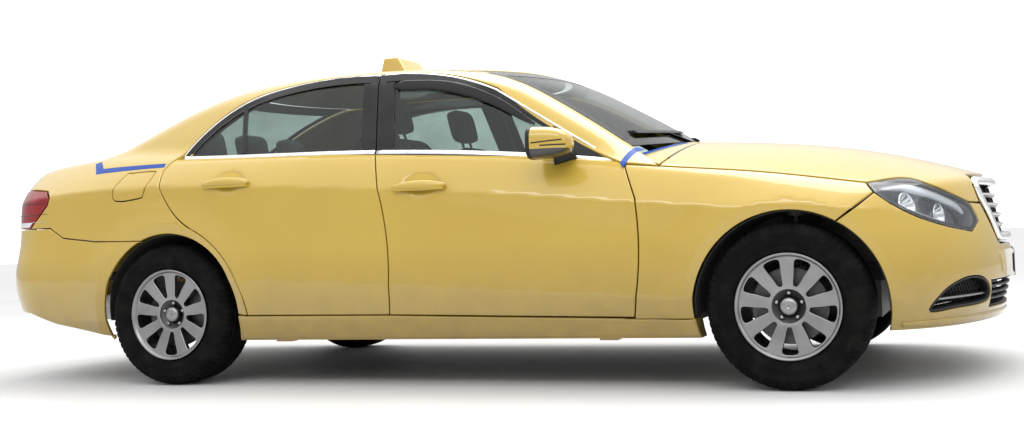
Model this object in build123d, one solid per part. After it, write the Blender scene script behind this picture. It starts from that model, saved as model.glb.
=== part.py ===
"""Four-door saloon taxi cab: an assembly of separate panels, glass, lamps, seats and running gear.

Frame: +X forward, +Y to the car's left, +Z up. The origin is on the ground, under the middle of the car.
All sizes are in millimetres.
"""

import math
import os

from build123d import *

# Driving dimensions
WHEELBASE = 2874.0
AXLE_FRONT_X = 1600.0
AXLE_REAR_X = AXLE_FRONT_X - WHEELBASE
TRACK_FRONT = 1585.0
TRACK_REAR = 1604.0
TYRE_R = 327.0
TYRE_WIDTH = 225.0
RIM_BEAD_R = 203.0
RIM_FLANGE_R = 220.0
ARCH_R = 378.0
ARCH_SHIFT_X = 6.0
ARCH_Z = 322.0
LINER_T = 4.0
WELL_INNER_Y = 470.0
GROUND_CLEARANCE = 205.0

# Walls, gaps and clearances
DOOR_WALL = 112.0
SIDE_WALL = 60.0
TOP_WALL = 32.0
FRAME_WALL = 40.0
ROOF_WALL = 38.0
GLASS_T = 5.0
GLASS_SET = 4.0
DOOR_GAP = 10.0
LID_GAP = 7.0
LID_HINGE_GAP = 18.0
SEAM = 0.3
PIN_CLEARANCE = 0.08
PIN_END_CLEARANCE = 1.0
RUN_CLEARANCE = 6.0

# Heights along the body
FLOOR_Z = 250.0
SILL_TOP_REAR_Z = 319.0
SILL_TOP_FRONT_Z = 286.0
FAR_Y = 1200.0
VOID_BOTTOM_Z = 100.0

# Lower body sections: x, half width, belt half width, then the heights of belt, crown, shoulder and crease
BODY_SECTIONS = [
    (2500.0, 842.0, 742.0, 690.0, 775.0, 640.0, 335.0),
    (1950.0, 893.0, 797.0, 791.0, 940.0, 695.0, 348.0),
    (1300.0, 915.0, 818.0, 875.0, 1028.0, 731.0, 366.0),
    (500.0, 924.0, 842.0, 970.0, 1058.0, 806.0, 408.0),
    (-400.0, 927.0, 842.0, 1026.0, 1062.0, 878.0, 460.0),
    (-1300.0, 925.0, 800.0, 1054.0, 1084.0, 921.0, 495.0),
    (-1950.0, 884.0, 690.0, 1072.0, 1096.0, 905.0, 492.0),
    (-2500.0, 800.0, 600.0, 1000.0, 1030.0, 850.0, 475.0),
]
SILL_TUCK = 62.0
DOOR_TUCK = 24.0
SHOULDER_TUCK = 6.0
FLANK_HOLLOW = 5.0
SHOULDER_BULGE = 4.0

# Nose and tail in plan: height, nose x, tail x
END_LEVELS = [
    (150.0, 2330.0, -2300.0),
    (330.0, 2424.0, -2395.0),
    (540.0, 2426.0, -2436.0),
    (680.0, 2402.0, -2405.0),
    (850.0, 2346.0, -2392.0),
    (1130.0, 2200.0, -2280.0),
]
NOSE_MID = (105.0, 490.0)
NOSE_CORNER = (262.0, 735.0)
NOSE_SIDE = (560.0, 945.0)
TAIL_MID = (50.0, 600.0)
TAIL_CORNER = (135.0, 770.0)
TAIL_SIDE = (490.0, 940.0)

# Greenhouse in plan: height, screen x, A corner x and y, side y, C corner x and y, rear screen x
GLASS_LEVELS = [
    (880.0, 1300.0, 1075.0, 800.0, 893.0, -2230.0, 700.0, -2330.0),
    (1180.0, 832.0, 610.0, 697.0, 754.0, -1610.0, 636.0, -1790.0),
    (1480.0, 260.0, 75.0, 566.0, 602.0, -930.0, 527.0, -1110.0),
]
SIDE_MID_X = -330.0

# Roof line on the centre: x and z of three points, and its drop at the side
ROOF_FRONT = (430.0, 1402.0)
ROOF_TOP = (-380.0, 1474.0)
ROOF_REAR = (-1240.0, 1412.0)
ROOF_CROWN = 150.0
ROOF_SIDE_Y = 960.0
ROOF_LOFT_FLOOR_Z = 700.0

# Door outlines in side view
DOOR_SPLIT_TOP = (-283.0, 1401.0)
DOOR_SPLIT_BELT = (-206.0, 1024.0)
DOOR_SPLIT_MID = (-118.0, 640.0)
DOOR_SPLIT_LOW = (-121.0, 314.0)
FRONT_DOOR_CORNER = (940.0, 916.0)
FRONT_DOOR_EDGE = (1004.0, 770.0)
FRONT_DOOR_MID = (1013.0, 560.0)
FRONT_DOOR_LOW = (982.0, 292.0)
FRONT_FRAME_BEND = (317.0, 1290.0)
FRONT_FRAME_ROOF = (40.0, 1378.0)
REAR_DOOR_CORNER = (-1300.0, 1052.0)
REAR_DOOR_HIP = (-1322.0, 1000.0)
REAR_DOOR_WAIST = (-1235.0, 812.0)
REAR_DOOR_ARCH_TOP = (-1105.0, 712.0)
REAR_DOOR_ARCH = (-950.0, 588.0)
REAR_DOOR_LOW = (-833.0, 319.0)
REAR_FRAME_BEND = (-833.0, 1371.0)
REAR_FRAME_CURVE = (-1118.0, 1254.0)
REAR_FRAME_ROOF = (-560.0, 1403.0)
WINDOW_BORDER = 34.0
BELT_RAIL = 6.0
BELT_STATIONS = (-1700.0, -1300.0, -400.0, 500.0, 1300.0)
DOOR_INNER_Y = 728.0
WINDOW_INNER_Y = 400.0

DOOR_EASE_TOP = 10.0

# Hinges of the doors
HINGE_BACK = 72.0
HINGE_DEPTH = 22.0
HINGE_PIN_R = 7.0
HINGE_ARM_H = 36.0
HINGE_PIN_H = 92.0
HINGE_HEIGHTS = (430.0, 660.0)
DOOR_NOSE_LENGTH = 118.0
DOOR_NOSE_WALL = 46.0
DOOR_NOSE_TOP_Z = 850.0
POST_CLEARANCE = 8.0
POST_DEPTH = 50.0

# Panel splits in side view
BONNET_REAR_X = 1085.0
BONNET_REAR_BOW = 50.0
BONNET_SIDE_TAIL = (885.0, 926.6)
BONNET_SIDE_REAR = (1085.0, 901.0)
BONNET_SIDE_FRONT = (1905.0, 796.0)
LAMP_TOP = (2045.0, 812.0)
LAMP_BROW = (2150.0, 774.0)
LAMP_FRONT_TOP = (2275.0, 708.0)
LAMP_FRONT = (2308.0, 632.0)
LAMP_CHIN = (2285.0, 592.0)
LAMP_BELLY = (2085.0, 660.0)
LAMP_INNER_Y = 490.0
BUMPER_ARCH = (1812.0, 650.0)
BUMPER_TAIL_Z = 640.0
BUMPER_LAMP = (1937.0, 756.0)
GRILLE_OUTLINE = [(395.0, 812.0), (432.0, 776.0), (424.0, 720.0), (330.0, 556.0), (300.0, 546.0)]
GRILLE_RIM = 26.0
GRILLE_DEPTH = 46.0
GRILLE_BARS = 4
GRILLE_BAR_H = 17.0
TAIL_LAMP = [
    (-1984.0, 900.0),
    (-2030.0, 934.0),
    (-2175.0, 946.0),
    (-2600.0, 946.0),
    (-2600.0, 752.0),
    (-2128.0, 752.0),
    (-1998.0, 866.0),
]
REAR_BUMPER_TOP = [(-1440.0, 660.0), (-1692.0, 678.0), (-1898.0, 701.0), (-1984.0, 752.0), (-2600.0, 752.0)]
QUARTER_FRONT_X = -700.0
REAR_BUMPER_FOOT = [(-2600.0, VOID_BOTTOM_Z), (-1440.0, VOID_BOTTOM_Z)]
REAR_BUMPER_LOW = [(-2600.0, 345.0), (-2185.0, 340.0), (-1973.0, 282.0), (-1631.0, 219.0), (-1440.0, 205.0)]
BOOT_FRONT_X = -1965.0
BOOT_FRONT_BOW = 45.0
BOOT_HALF = 590.0
BOOT_LOW_Z = 696.0
LID_LAMP_IN = 330.0
LID_LAMP_OUT = BOOT_HALF - LID_GAP / 2
LID_LAMP_Z = (752.0, 946.0)
LID_LAMP_X = -2200.0
LAMP_CHEEK = (1997.0, 711.0)
FOG_OUTLINE = [
    (2120.0, 294.0),
    (2166.0, 360.0),
    (2266.0, 416.0),
    (2325.0, 408.0),
    (2340.0, 362.0),
    (2318.0, 310.0),
]
FOG_INNER_Y = 470.0
INTAKE_OUTLINE = [(-420.0, 285.0), (-450.0, 390.0), (450.0, 390.0), (420.0, 285.0)]
INSERT_SET = 25.0
INSERT_T = 22.0
COWL_HALF = 700.0
COWL_X = (780.0, 1300.0)
FENDER_REAR_X = (980.0, 900.0)
FENDER_STEP_Z = 600.0
FENDER_TOP_Z = 1000.0
SILL_SPLIT_Z = 284.0
SILL_X = (-905.0, 1245.0)
SILL_STEP_X = (900.0, 940.0)
SILL_INNER_Y = 760.0
JACK_PAD_X = (850.0, -700.0)
JACK_PAD_Y = 811.0
JACK_PAD_SIZE = (80.0, 50.0)
JACK_PAD_DROP = 10.0
SCREEN_OUTLINE = [(545.0, 1398.0), (700.0, 1000.0)]
SCREEN_X = (0.0, 1400.0)
REAR_SCREEN_X = (-2600.0, -900.0)
REAR_SCREEN_OUTLINE = [(470.0, 1395.0), (590.0, 1070.0)]
LINER_SET = 30.0

# Posts, handles and mirrors
WIDEST_HALF = 926.0
POCKET_BACK = 18.0
POCKET_OUT = 14.0
POST_INNER_Y = 745.0
NOSE_SWEEP = math.hypot(HINGE_BACK, DOOR_NOSE_WALL + DOOR_TUCK - HINGE_DEPTH)
POST_OUTER_Y = WIDEST_HALF - HINGE_DEPTH - NOSE_SWEEP - RUN_CLEARANCE
POST_TOP_Z = 790.0
PILLAR_INNER_Y = 690.0
PILLAR_HALF = 45.0
PILLAR_Z = (1055.0, 1500.0)
PILLAR_LAP = 55.0
PILLAR_KNEE_H = 60.0
HINGE_EYE = 4.0
HINGE_ROOT = 20.0
POST_FORWARD = 60.0
HANDLE_Y = 926.0
HANDLE_T = 16.0
HANDLE_H = 26.0
HANDLE_ROUND = 6.0
HANDLE_FOOT_L = 30.0
HANDLE_FOOT_DEPTH = 44.0
HANDLE_FOOT_INSET = 2.0
FRONT_HANDLE = (-69.0, 166.0, 858.0)
REAR_HANDLE = (-1039.0, -812.0, 914.0)
SCOOP_RADII = (76.0, 52.0, 40.0)
SCOOP_OUT = 14.0
SCOOP_DROP = 6.0
SCOOP_FORWARD = 6.0
MIRROR_HEAD = (590.0, 760.0, -1035.0, -870.0, 948.0, 1078.0)
MIRROR_FOOT = (650.0, 730.0, -880.0, -820.0, 950.0, 985.0)
MIRROR_ROUND = 28.0

# Hinge arms of bonnet and boot lid: axis in (x, z), arm path relative to the axis
BONNET_AXIS = (1020.0, 968.0)
BONNET_ARM_Y = 250.0
BONNET_ARM_END_X = 1230.0
BONNET_ARM_H = 24.0
BONNET_ARM_FOOT = 60.0
BOOT_AXIS = (-1710.0, 985.0)
BOOT_ARM_Y = 480.0
BOOT_ARM_PATH = [
    (0.0, 0.0),
    (-60.0, -200.0),
    (-195.0, -290.0),
    (-300.0, -180.0),
    (-340.0, 0.0),
    (-340.0, 120.0),
]
ARM_T = 22.0

# Upholstery and dash
SEAT_Y = 380.0
SEAT_BASE_SIZE = (520.0, 480.0, 160.0)
SEAT_BASE_X = 140.0
SEAT_BASE_H = 190.0
SEAT_BACK_SIZE = (130.0, 480.0, 640.0)
SEAT_BACK_X = -190.0
SEAT_BACK_H = 560.0
SEAT_LEAN = 20.0
HEAD_REST_SIZE = (90.0, 260.0, 180.0)
HEAD_REST_X = -345.0
HEAD_REST_H = 985.0
HEAD_REST_LEAN = 14.0
STALK_R = 7.0
STALK_L = 160.0
STALK_X = -322.0
STALK_H = 880.0
STALK_LEAN = 18.0
STALK_OUT = 50.0
RAIL_OUT = 180.0
SEAT_RAIL_X = (-80.0, 340.0)
SEAT_RAIL_HALF = 20.0
SEAT_RAIL_H = 130.0
BENCH_X = (-1190.0, -700.0)
BENCH_HALF = 640.0
BENCH_Z = (440.0, 650.0)
BENCH_BACK_SIZE = (130.0, 1150.0, 520.0)
BENCH_BACK_PLACE = (-1335.0, 0.0, 860.0)
BENCH_LEAN = 16.0
BENCH_FOOT_X = (-1300.0, -1150.0)
BENCH_FOOT_HALF = 450.0
BENCH_FOOT_Z = 700.0
BENCH_REST_SIZE = (80.0, 250.0, 160.0)
BENCH_REST_X = -1425.0
BENCH_REST_Z = 1150.0
BENCH_REST_LEAN = 12.0
DASH_BACK_Z = (560.0, 940.0)
DASH_PROFILE = [(800.0, 975.0), (640.0, 960.0), (600.0, 900.0), (640.0, 760.0), (760.0, 600.0)]
DASH_HALF = 700.0
CONSOLE_X = (-60.0, 800.0)
CONSOLE_HALF = 110.0
CONSOLE_H = 130.0
WHEEL_GRIP_R = 15.0
WHEEL_HUB_R = 60.0
WHEEL_HUB_H = 40.0
WHEEL_SPOKE_W = 34.0
WHEEL_SPOKE_T = 14.0
WHEEL_SPOKE_INSET = 10.0
WHEEL_SPOKE_ANGLES = (0.0, 180.0, 270.0)

# Sign, wipers, plates, engine and exhaust
SIGN_LEAN = (35.0, 20.0)
BLADE_Z = (1064.0, 1094.0)
BLADE_H = 12.0
ARM_TIP = 8.0
ARM_ROOT = 12.0
ARM_ROOT_Z = 1000.0
WIPER_X = (600.0, 1300.0)
FRONT_PLATE_X = (2300.0, 2440.0)
FRONT_PLATE_Z = (400.0, 510.0)
REAR_PLATE_X = (-2404.0, -2330.0)
REAR_PLATE_Z = (775.0, 885.0)
SUBFRAME_Z = (175.0, 235.0)
ENGINE_X = (1250.0, 1900.0)
ENGINE_HALF = 280.0
ENGINE_TOP_Z = 850.0
SILENCER_X = (-2200.0, -1800.0)
SILENCER_HALF = 380.0
SILENCER_Z = (270.0, 400.0)
SILENCER_ROUND = 40.0
PIPE_FRONT_X = 900.0
PIPE_HALF = 40.0
PIPE_Z = (152.0, 202.0)
HANGER_X = (-2010.0, -1990.0)

# Far limits of blocks that only have to reach past the body
PAST_NOSE_X = 2600.0
PAST_TAIL_X = -2700.0
PAST_TOP_Z = 1300.0

# Floor and structure
FLOOR_REAR_X = -880.0
FLOOR_T = 35.0
FIREWALL_X = 1050.0
FIREWALL_T = 40.0
FIREWALL_HALF = 700.0
FIREWALL_Z = 880.0
COWL_WALL_HALF = 560.0
COWL_WALL_Z = 1100.0
BENCH_WALL_X = (-1530.0, -1500.0)
BENCH_WALL_HALF = 600.0
SHELF_X = -1900.0
SHELF_HALF = 560.0
SHELF_T = 25.0
BOOT_REAR_X = -2330.0
BOOT_FLOOR_T = 30.0
RAIL_Z = (400.0, 480.0)
TOWER_HALF = 80.0
TOWER_T = 20.0
TOWER_OUTER_Y = 680.0
LUG_T = 20.0
FLOOR_OVERLAP = 10.0
TUNNEL_HALF = 130.0
TUNNEL_Z = 400.0
BOOT_FLOOR_Z = 510.0
SHELF_Z = 1035.0
RAIL_Y = (380.0, 450.0)
TOWER_Z = 838.0

# Wheels and hubs; lengths along the axle are measured from the wheel middle, outwards negative
BEAD_HALF = 92.0
RIM_HALF = 104.0
HUB_R = 72.0
HUB_FACE = -78.0
HUB_BACK = -48.0
SPOKE_BACK = -56.0
SPOKE_T = 26.0
RIM_WALL = 12.0
SPOKES = 9
SPOKE_OUTLINE = [(-17.0, 56.0), (17.0, 56.0), (20.0, 120.0), (31.0, 198.0), (-31.0, 198.0), (-20.0, 120.0)]
BOLTS = 5
BOLT_CIRCLE_R = 56.0
BOLT_R = 9.0
BOLT_DEPTH = 30.0
AXLE_R = 28.0
DISC_R = 150.0
DISC_OUT = -40.0
DISC_IN = -14.0
KINGPIN_Y = 765.0
POST_R = 24.0
POST_HALF = 122.0
PIVOT_R = 12.0
STRUT_Y = 600.0
COIL_R = 52.0

# Steering wheel, roof sign and plates
WHEEL_CENTRE = (440.0, 370.0, 880.0)
COLUMN_TILT = 25.0
COLUMN_R = 22.0
COLUMN_L = 260.0
WHEEL_RIM_R = 185.0
SIGN_BOX = (-545.0, -310.0, -330.0, 330.0, 1440.0, 1566.0)
PLATE_HALF = 260.0
WIPER_T = 12.0
WIPER_SPANS = [(-560.0, -20.0, -60.0), (60.0, 600.0, 480.0)]


def both(shape):
    """The piece on the right with its mirror image on the left."""
    return Compound(children=[*shape.solids(), *mirror(shape, about=Plane.XZ).solids()])


def on_left(shape):
    """A piece drawn on the right, carried over to the left."""
    return mirror(shape, about=Plane.XZ)


def box(x0, x1, y0, y1, z0, z1):
    return Pos((x0 + x1) / 2, (y0 + y1) / 2, (z0 + z1) / 2) * Box(x1 - x0, y1 - y0, z1 - z0)


def rod_y(x, z, radius, y0, y1):
    """A round bar along y."""
    return Pos(x, (y0 + y1) / 2, z) * Rot(90, 0, 0) * Cylinder(radius, abs(y1 - y0))


def rod_z(x, y, radius, z0, z1):
    """A round bar along z."""
    return Pos(x, y, (z0 + z1) / 2) * Cylinder(radius, z1 - z0)


def arc_points(start, middle, end, steps=5):
    """Points along the arc through three points, both ends included."""
    arc = ThreePointArc(start, middle, end)
    return [((arc @ (i / steps)).X, (arc @ (i / steps)).Y) for i in range(steps + 1)]


def grown(points, distance):
    """A closed outline moved outwards by a distance, or inwards when it is negative."""
    ring = points[1:] + points[:1]
    points = [p for p, q in zip(points, ring) if math.dist(p, q) > 0.01]
    ring = points[1:] + points[:1]
    turn = 1.0 if sum(p[0] * q[1] - q[0] * p[1] for p, q in zip(points, ring)) > 0 else -1.0
    normals = []
    for p, q in zip(points, ring):
        length = math.dist(p, q)
        normals.append((turn * (q[1] - p[1]) / length, turn * (p[0] - q[0]) / length))
    moved = []
    for here, n0, n1 in zip(points, normals[-1:] + normals[:-1], normals):
        scale = distance / (1.0 + n0[0] * n1[0] + n0[1] * n1[1])
        moved.append((here[0] + scale * (n0[0] + n1[0]), here[1] + scale * (n0[1] + n1[1])))
    return moved


def side_prism(points, y0=-FAR_Y, y1=0.0):
    """A solid between y0 and y1 whose outline is drawn in (x, z)."""
    face = make_face(Polyline(*points, close=True).edges())
    return Pos(0, y0, 0) * extrude(Plane.XZ * face, amount=-(y1 - y0))


def front_prism(points, x0, x1):
    """A solid between x0 and x1 whose outline is drawn in (y, z)."""
    face = make_face(Polyline(*points, close=True).edges())
    return Pos(x0, 0, 0) * extrude(Plane.YZ * face, amount=x1 - x0)


def mirrored_outline(points):
    """A (y, z) outline drawn for one half, closed with its mirror image."""
    return points + [(-y, z) for y, z in reversed(points)]


def lower_body(side_inset=0.0, top_inset=0.0, bottom_z=GROUND_CLEARANCE):
    """The body from the sills to the belt, bonnet and boot, as one solid."""
    faces = []
    for x, half, belt_y, belt_z, crown_z, shoulder_z, crease_z in BODY_SECTIONS:
        sill = (half - SILL_TUCK - side_inset, bottom_z)
        door = (half - DOOR_TUCK - side_inset, (SILL_TOP_FRONT_Z + SILL_TOP_REAR_Z) / 2)
        crease = (half - side_inset, crease_z)
        shoulder = (half - SHOULDER_TUCK - side_inset, shoulder_z - top_inset / 2)
        belt = (belt_y - side_inset, belt_z - top_inset)
        flank = ((crease[0] + shoulder[0]) / 2 - FLANK_HOLLOW, (crease[1] + shoulder[1]) / 2)
        roll = ((belt[0] + shoulder[0]) / 2 + SHOULDER_BULGE, (belt[1] + shoulder[1]) / 2 + SHOULDER_BULGE)
        edges = [Line((-sill[0], sill[1]), sill)]
        for s in (1, -1):
            edges += [
                Line((s * sill[0], sill[1]), (s * door[0], door[1])),
                Line((s * door[0], door[1]), (s * crease[0], crease[1])),
                ThreePointArc(*[(s * y, z) for y, z in (crease, flank, shoulder)]),
                ThreePointArc(*[(s * y, z) for y, z in (shoulder, roll, belt)]),
            ]
        edges.append(ThreePointArc(belt, (0, crown_z - top_inset), (-belt[0], belt[1])))
        faces.append(Pos(x, 0, 0) * (Plane.YZ * make_face(edges)))
    ends = []
    for z, nose_x, tail_x in END_LEVELS:
        nose, tail = nose_x - side_inset, tail_x + side_inset
        edges = [
            ThreePointArc((nose - NOSE_MID[0], -NOSE_MID[1]), (nose, 0), (nose - NOSE_MID[0], NOSE_MID[1])),
            ThreePointArc((tail + TAIL_MID[0], -TAIL_MID[1]), (tail, 0), (tail + TAIL_MID[0], TAIL_MID[1])),
        ]
        for s in (1, -1):
            edges += [
                ThreePointArc(
                    (nose - NOSE_MID[0], s * NOSE_MID[1]),
                    (nose - NOSE_CORNER[0], s * NOSE_CORNER[1]),
                    (nose - NOSE_SIDE[0], s * NOSE_SIDE[1]),
                ),
                Line((nose - NOSE_SIDE[0], s * NOSE_SIDE[1]), (tail + TAIL_SIDE[0], s * TAIL_SIDE[1])),
                ThreePointArc(
                    (tail + TAIL_MID[0], s * TAIL_MID[1]),
                    (tail + TAIL_CORNER[0], s * TAIL_CORNER[1]),
                    (tail + TAIL_SIDE[0], s * TAIL_SIDE[1]),
                ),
            ]
        ends.append(Pos(0, 0, z) * make_face(edges))
    return loft(faces) & loft(ends)


def greenhouse(inset=0.0, roof_inset=0.0):
    """The cabin above the belt, with the screens, side windows and roof as one solid."""
    faces = []
    for z, screen_x, a_x, a_y, side_y, c_x, c_y, rear_x in GLASS_LEVELS:
        slope = 2.0 * inset
        a, c = (a_x - slope, a_y - inset), (c_x + slope, c_y - inset)
        edges = [
            ThreePointArc((a[0], -a[1]), (screen_x - slope, 0), a),
            ThreePointArc((c[0], -c[1]), (rear_x + slope, 0), c),
        ]
        for s in (1, -1):
            middle = (SIDE_MID_X, s * (side_y - inset))
            edges.append(ThreePointArc((a[0], s * a[1]), middle, (c[0], s * c[1])))
        faces.append(Pos(0, 0, z) * make_face(edges))
    roof_faces = []
    for y, drop in ((-ROOF_SIDE_Y, ROOF_CROWN), (0.0, 0.0), (ROOF_SIDE_Y, ROOF_CROWN)):
        line = ThreePointArc(*[(x, z - drop - roof_inset) for x, z in (ROOF_FRONT, ROOF_TOP, ROOF_REAR)])
        start, end = line @ 0, line @ 1
        ahead, behind = start + (line % 0) * -1200, end + (line % 1) * 1600
        edges = [
            line,
            Line(start, ahead),
            Line(end, behind),
            Line(ahead, (ahead.X, ROOF_LOFT_FLOOR_Z)),
            Line((ahead.X, ROOF_LOFT_FLOOR_Z), (behind.X, ROOF_LOFT_FLOOR_Z)),
            Line((behind.X, ROOF_LOFT_FLOOR_Z), behind),
        ]
        roof_faces.append(Pos(0, y, 0) * (Plane.XZ * make_face(edges)))
    return loft(faces) & loft(roof_faces)


def split_points():
    """The line between front and rear door, from the roof down to the sill."""
    return [DOOR_SPLIT_TOP, *arc_points(DOOR_SPLIT_BELT, DOOR_SPLIT_MID, DOOR_SPLIT_LOW)]


def split_x(z):
    """Where the line between the doors stands at a height."""
    points = split_points()
    for (x0, z0), (x1, z1) in zip(points, points[1:]):
        if z1 <= z <= z0:
            return x0 + (x1 - x0) * (z - z0) / (z1 - z0)
    raise ValueError("the height is off the line between the doors")


def front_door_points():
    return [
        *split_points(),
        *arc_points(FRONT_DOOR_LOW, FRONT_DOOR_MID, FRONT_DOOR_EDGE),
        FRONT_DOOR_CORNER,
        *arc_points(FRONT_FRAME_BEND, FRONT_FRAME_ROOF, DOOR_SPLIT_TOP),
    ]


def rear_door_points():
    return [
        *split_points(),
        *arc_points(REAR_DOOR_LOW, REAR_DOOR_ARCH, REAR_DOOR_ARCH_TOP),
        *arc_points(REAR_DOOR_ARCH_TOP, REAR_DOOR_WAIST, REAR_DOOR_HIP),
        *arc_points(REAR_DOOR_CORNER, REAR_FRAME_CURVE, REAR_FRAME_BEND),
        *arc_points(REAR_FRAME_BEND, REAR_FRAME_ROOF, DOOR_SPLIT_TOP),
    ]


def belt_at(x):
    """Height of the belt line, read between the body sections."""
    rows = sorted((section[0], section[3]) for section in BODY_SECTIONS)
    for (x0, z0), (x1, z1) in zip(rows, rows[1:]):
        if x0 <= x <= x1:
            return z0 + (z1 - z0) * (x - x0) / (x1 - x0)
    raise ValueError("x is off the body")


def arch_cylinder(axle_x, radius=ARCH_R, inner_y=WELL_INNER_Y):
    """The wheel opening on the right, from the inside of the wheel well out past the flank."""
    return rod_y(axle_x + ARCH_SHIFT_X, ARCH_Z, radius, -FAR_Y, -inner_y)


OUTER = lower_body()
CABIN_VOID = lower_body(DOOR_WALL, TOP_WALL, VOID_BOTTOM_Z)
SIDE_VOID = lower_body(SIDE_WALL, TOP_WALL, VOID_BOTTOM_Z)
TOP_OUTER = greenhouse()
TOP_VOID = greenhouse(FRAME_WALL, ROOF_WALL)
NOSE_VOID = lower_body(DOOR_NOSE_WALL, TOP_WALL, VOID_BOTTOM_Z)
SHELL = OUTER - SIDE_VOID
ARCHES = [arch_cylinder(AXLE_FRONT_X), arch_cylinder(AXLE_REAR_X)]


def cut(shape, *tools):
    for tool in tools:
        shape = shape - tool
    return shape


def above_belt():
    """Everything above the belt line, seen from the side."""
    stations = [(x, belt_at(x) + BELT_RAIL) for x in BELT_STATIONS]
    return side_prism([(BELT_STATIONS[0], 1700.0), *stations, (BELT_STATIONS[-1], 1700.0)])


def door_panel(points, ease_top):
    """A door as one thick panel with its window opening, without hinge pockets."""
    outline = grown(points, -DOOR_GAP / 2)
    eased = [(x + ease_top, z) for x, z in outline]
    low = cut(OUTER & side_prism(outline, y1=-DOOR_INNER_Y), CABIN_VOID)
    frame = TOP_OUTER & side_prism(outline, y1=-WINDOW_INNER_Y) & side_prism(eased, y1=-WINDOW_INNER_Y)
    frame = cut(frame, TOP_VOID)
    window = side_prism(grown(points, -WINDOW_BORDER - DOOR_GAP / 2)) & above_belt()
    return low + cut(frame, window)


def door_glass(points):
    """The pane of a door window, reaching under the edges of its opening."""
    skin = greenhouse(GLASS_SET, ROOF_WALL) - greenhouse(GLASS_SET + GLASS_T, ROOF_WALL)
    pane = skin & side_prism(grown(points, -WINDOW_BORDER - DOOR_GAP / 2), y1=-WINDOW_INNER_Y)
    return (pane & above_belt()) - OUTER


def hinge_axis(edge_x):
    """Where the hinge pins of a door stand, in plan: behind its front edge and under its skin."""
    return edge_x - HINGE_BACK, -(WIDEST_HALF - HINGE_DEPTH)


def hinged_door(panel, edge_x):
    """A door with a thin front end, and pockets and bores for the hinges."""
    x, y = hinge_axis(edge_x)
    ahead, inside = edge_x + POST_FORWARD, -PILLAR_INNER_Y
    nose = box(edge_x - DOOR_NOSE_LENGTH, ahead, -FAR_Y, inside, 0, DOOR_NOSE_TOP_Z)
    panel = panel - (nose & NOSE_VOID)
    for z in HINGE_HEIGHTS:
        half = HINGE_ARM_H / 2 + RUN_CLEARANCE
        panel = panel - box(x - POCKET_BACK, ahead, y - POCKET_OUT, inside, z - half, z + half)
        reach = HINGE_PIN_H / 2 + PIN_END_CLEARANCE
        panel = panel - rod_z(x, y, HINGE_PIN_R + PIN_CLEARANCE, z - reach, z + reach)
    return panel


def hinge_arms(edge_x, post):
    """The fixed hinge halves of a door: an arm out of the post and a pin through its end."""
    x, y = hinge_axis(edge_x)
    arms = []
    for z in HINGE_HEIGHTS:
        half = HINGE_PIN_R + HINGE_EYE
        arm_y = (y - HINGE_EYE / 2, -POST_INNER_Y - HINGE_ROOT)
        arm = box(x - half, x + half, *arm_y, z - HINGE_ARM_H / 2, z + HINGE_ARM_H / 2)
        pin = rod_z(x, y, HINGE_PIN_R, z - HINGE_PIN_H / 2, z + HINGE_PIN_H / 2)
        arms.append((arm + pin) - post)
    return arms


def door_post(edge_x, front_x, sill_box):
    """The pillar foot inside the sweep of a door's thin front end, standing on the sill."""
    x0 = edge_x - DOOR_NOSE_LENGTH + POST_CLEARANCE
    return box(x0, front_x, -POST_OUTER_Y, -POST_INNER_Y, FLOOR_Z, POST_TOP_Z) - sill_box


def handle(x0, x1, z):
    """A pull handle standing off the door skin on two feet."""
    bar = box(x0, x1, -HANDLE_Y - HANDLE_T, -HANDLE_Y, z - HANDLE_H / 2, z + HANDLE_H / 2)
    bar = fillet(bar.edges().filter_by(Axis.X), HANDLE_ROUND)
    foot_z = HANDLE_H / 2 - HANDLE_FOOT_INSET
    for x in (x0, x1 - HANDLE_FOOT_L):
        foot_y = (-HANDLE_Y - HANDLE_T / 2, -HANDLE_Y + HANDLE_FOOT_DEPTH)
        bar = bar + box(x, x + HANDLE_FOOT_L, *foot_y, z - foot_z, z + foot_z)
    return bar


def scoop(x0, x1, z):
    """The hollow behind a handle."""
    x = (x0 + x1) / 2 + SCOOP_FORWARD
    return Pos(x, -HANDLE_Y - SCOOP_OUT, z - SCOOP_DROP) * scale(Sphere(1), by=SCOOP_RADII)


def door_mirror():
    """The housing of a door mirror with its foot on the door."""
    head = fillet(box(*MIRROR_HEAD).edges(), MIRROR_ROUND)
    return head + (box(*MIRROR_FOOT) - OUTER)


def bonnet_points():
    return [
        BONNET_SIDE_REAR,
        BONNET_SIDE_FRONT,
        LAMP_TOP,
        LAMP_BROW,
        LAMP_FRONT_TOP,
        (PAST_NOSE_X, LAMP_FRONT_TOP[1]),
        (PAST_NOSE_X, PAST_TOP_Z),
        (BONNET_SIDE_TAIL[0], PAST_TOP_Z),
        BONNET_SIDE_TAIL,
    ]


def lamp_points():
    top = [BONNET_SIDE_FRONT, LAMP_TOP, LAMP_BROW, LAMP_FRONT_TOP]
    return [*top, LAMP_FRONT, LAMP_CHIN, LAMP_BELLY, LAMP_CHEEK, BUMPER_LAMP]


def bumper_points():
    over_wheel = [(AXLE_FRONT_X, VOID_BOTTOM_Z), (AXLE_FRONT_X, BUMPER_TAIL_Z), BUMPER_ARCH]
    under_lamp = [BUMPER_LAMP, LAMP_CHEEK, LAMP_BELLY, LAMP_CHIN, LAMP_FRONT, LAMP_FRONT_TOP]
    return [*over_wheel, *under_lamp, (PAST_NOSE_X, LAMP_FRONT_TOP[1]), (PAST_NOSE_X, VOID_BOTTOM_Z)]


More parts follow.
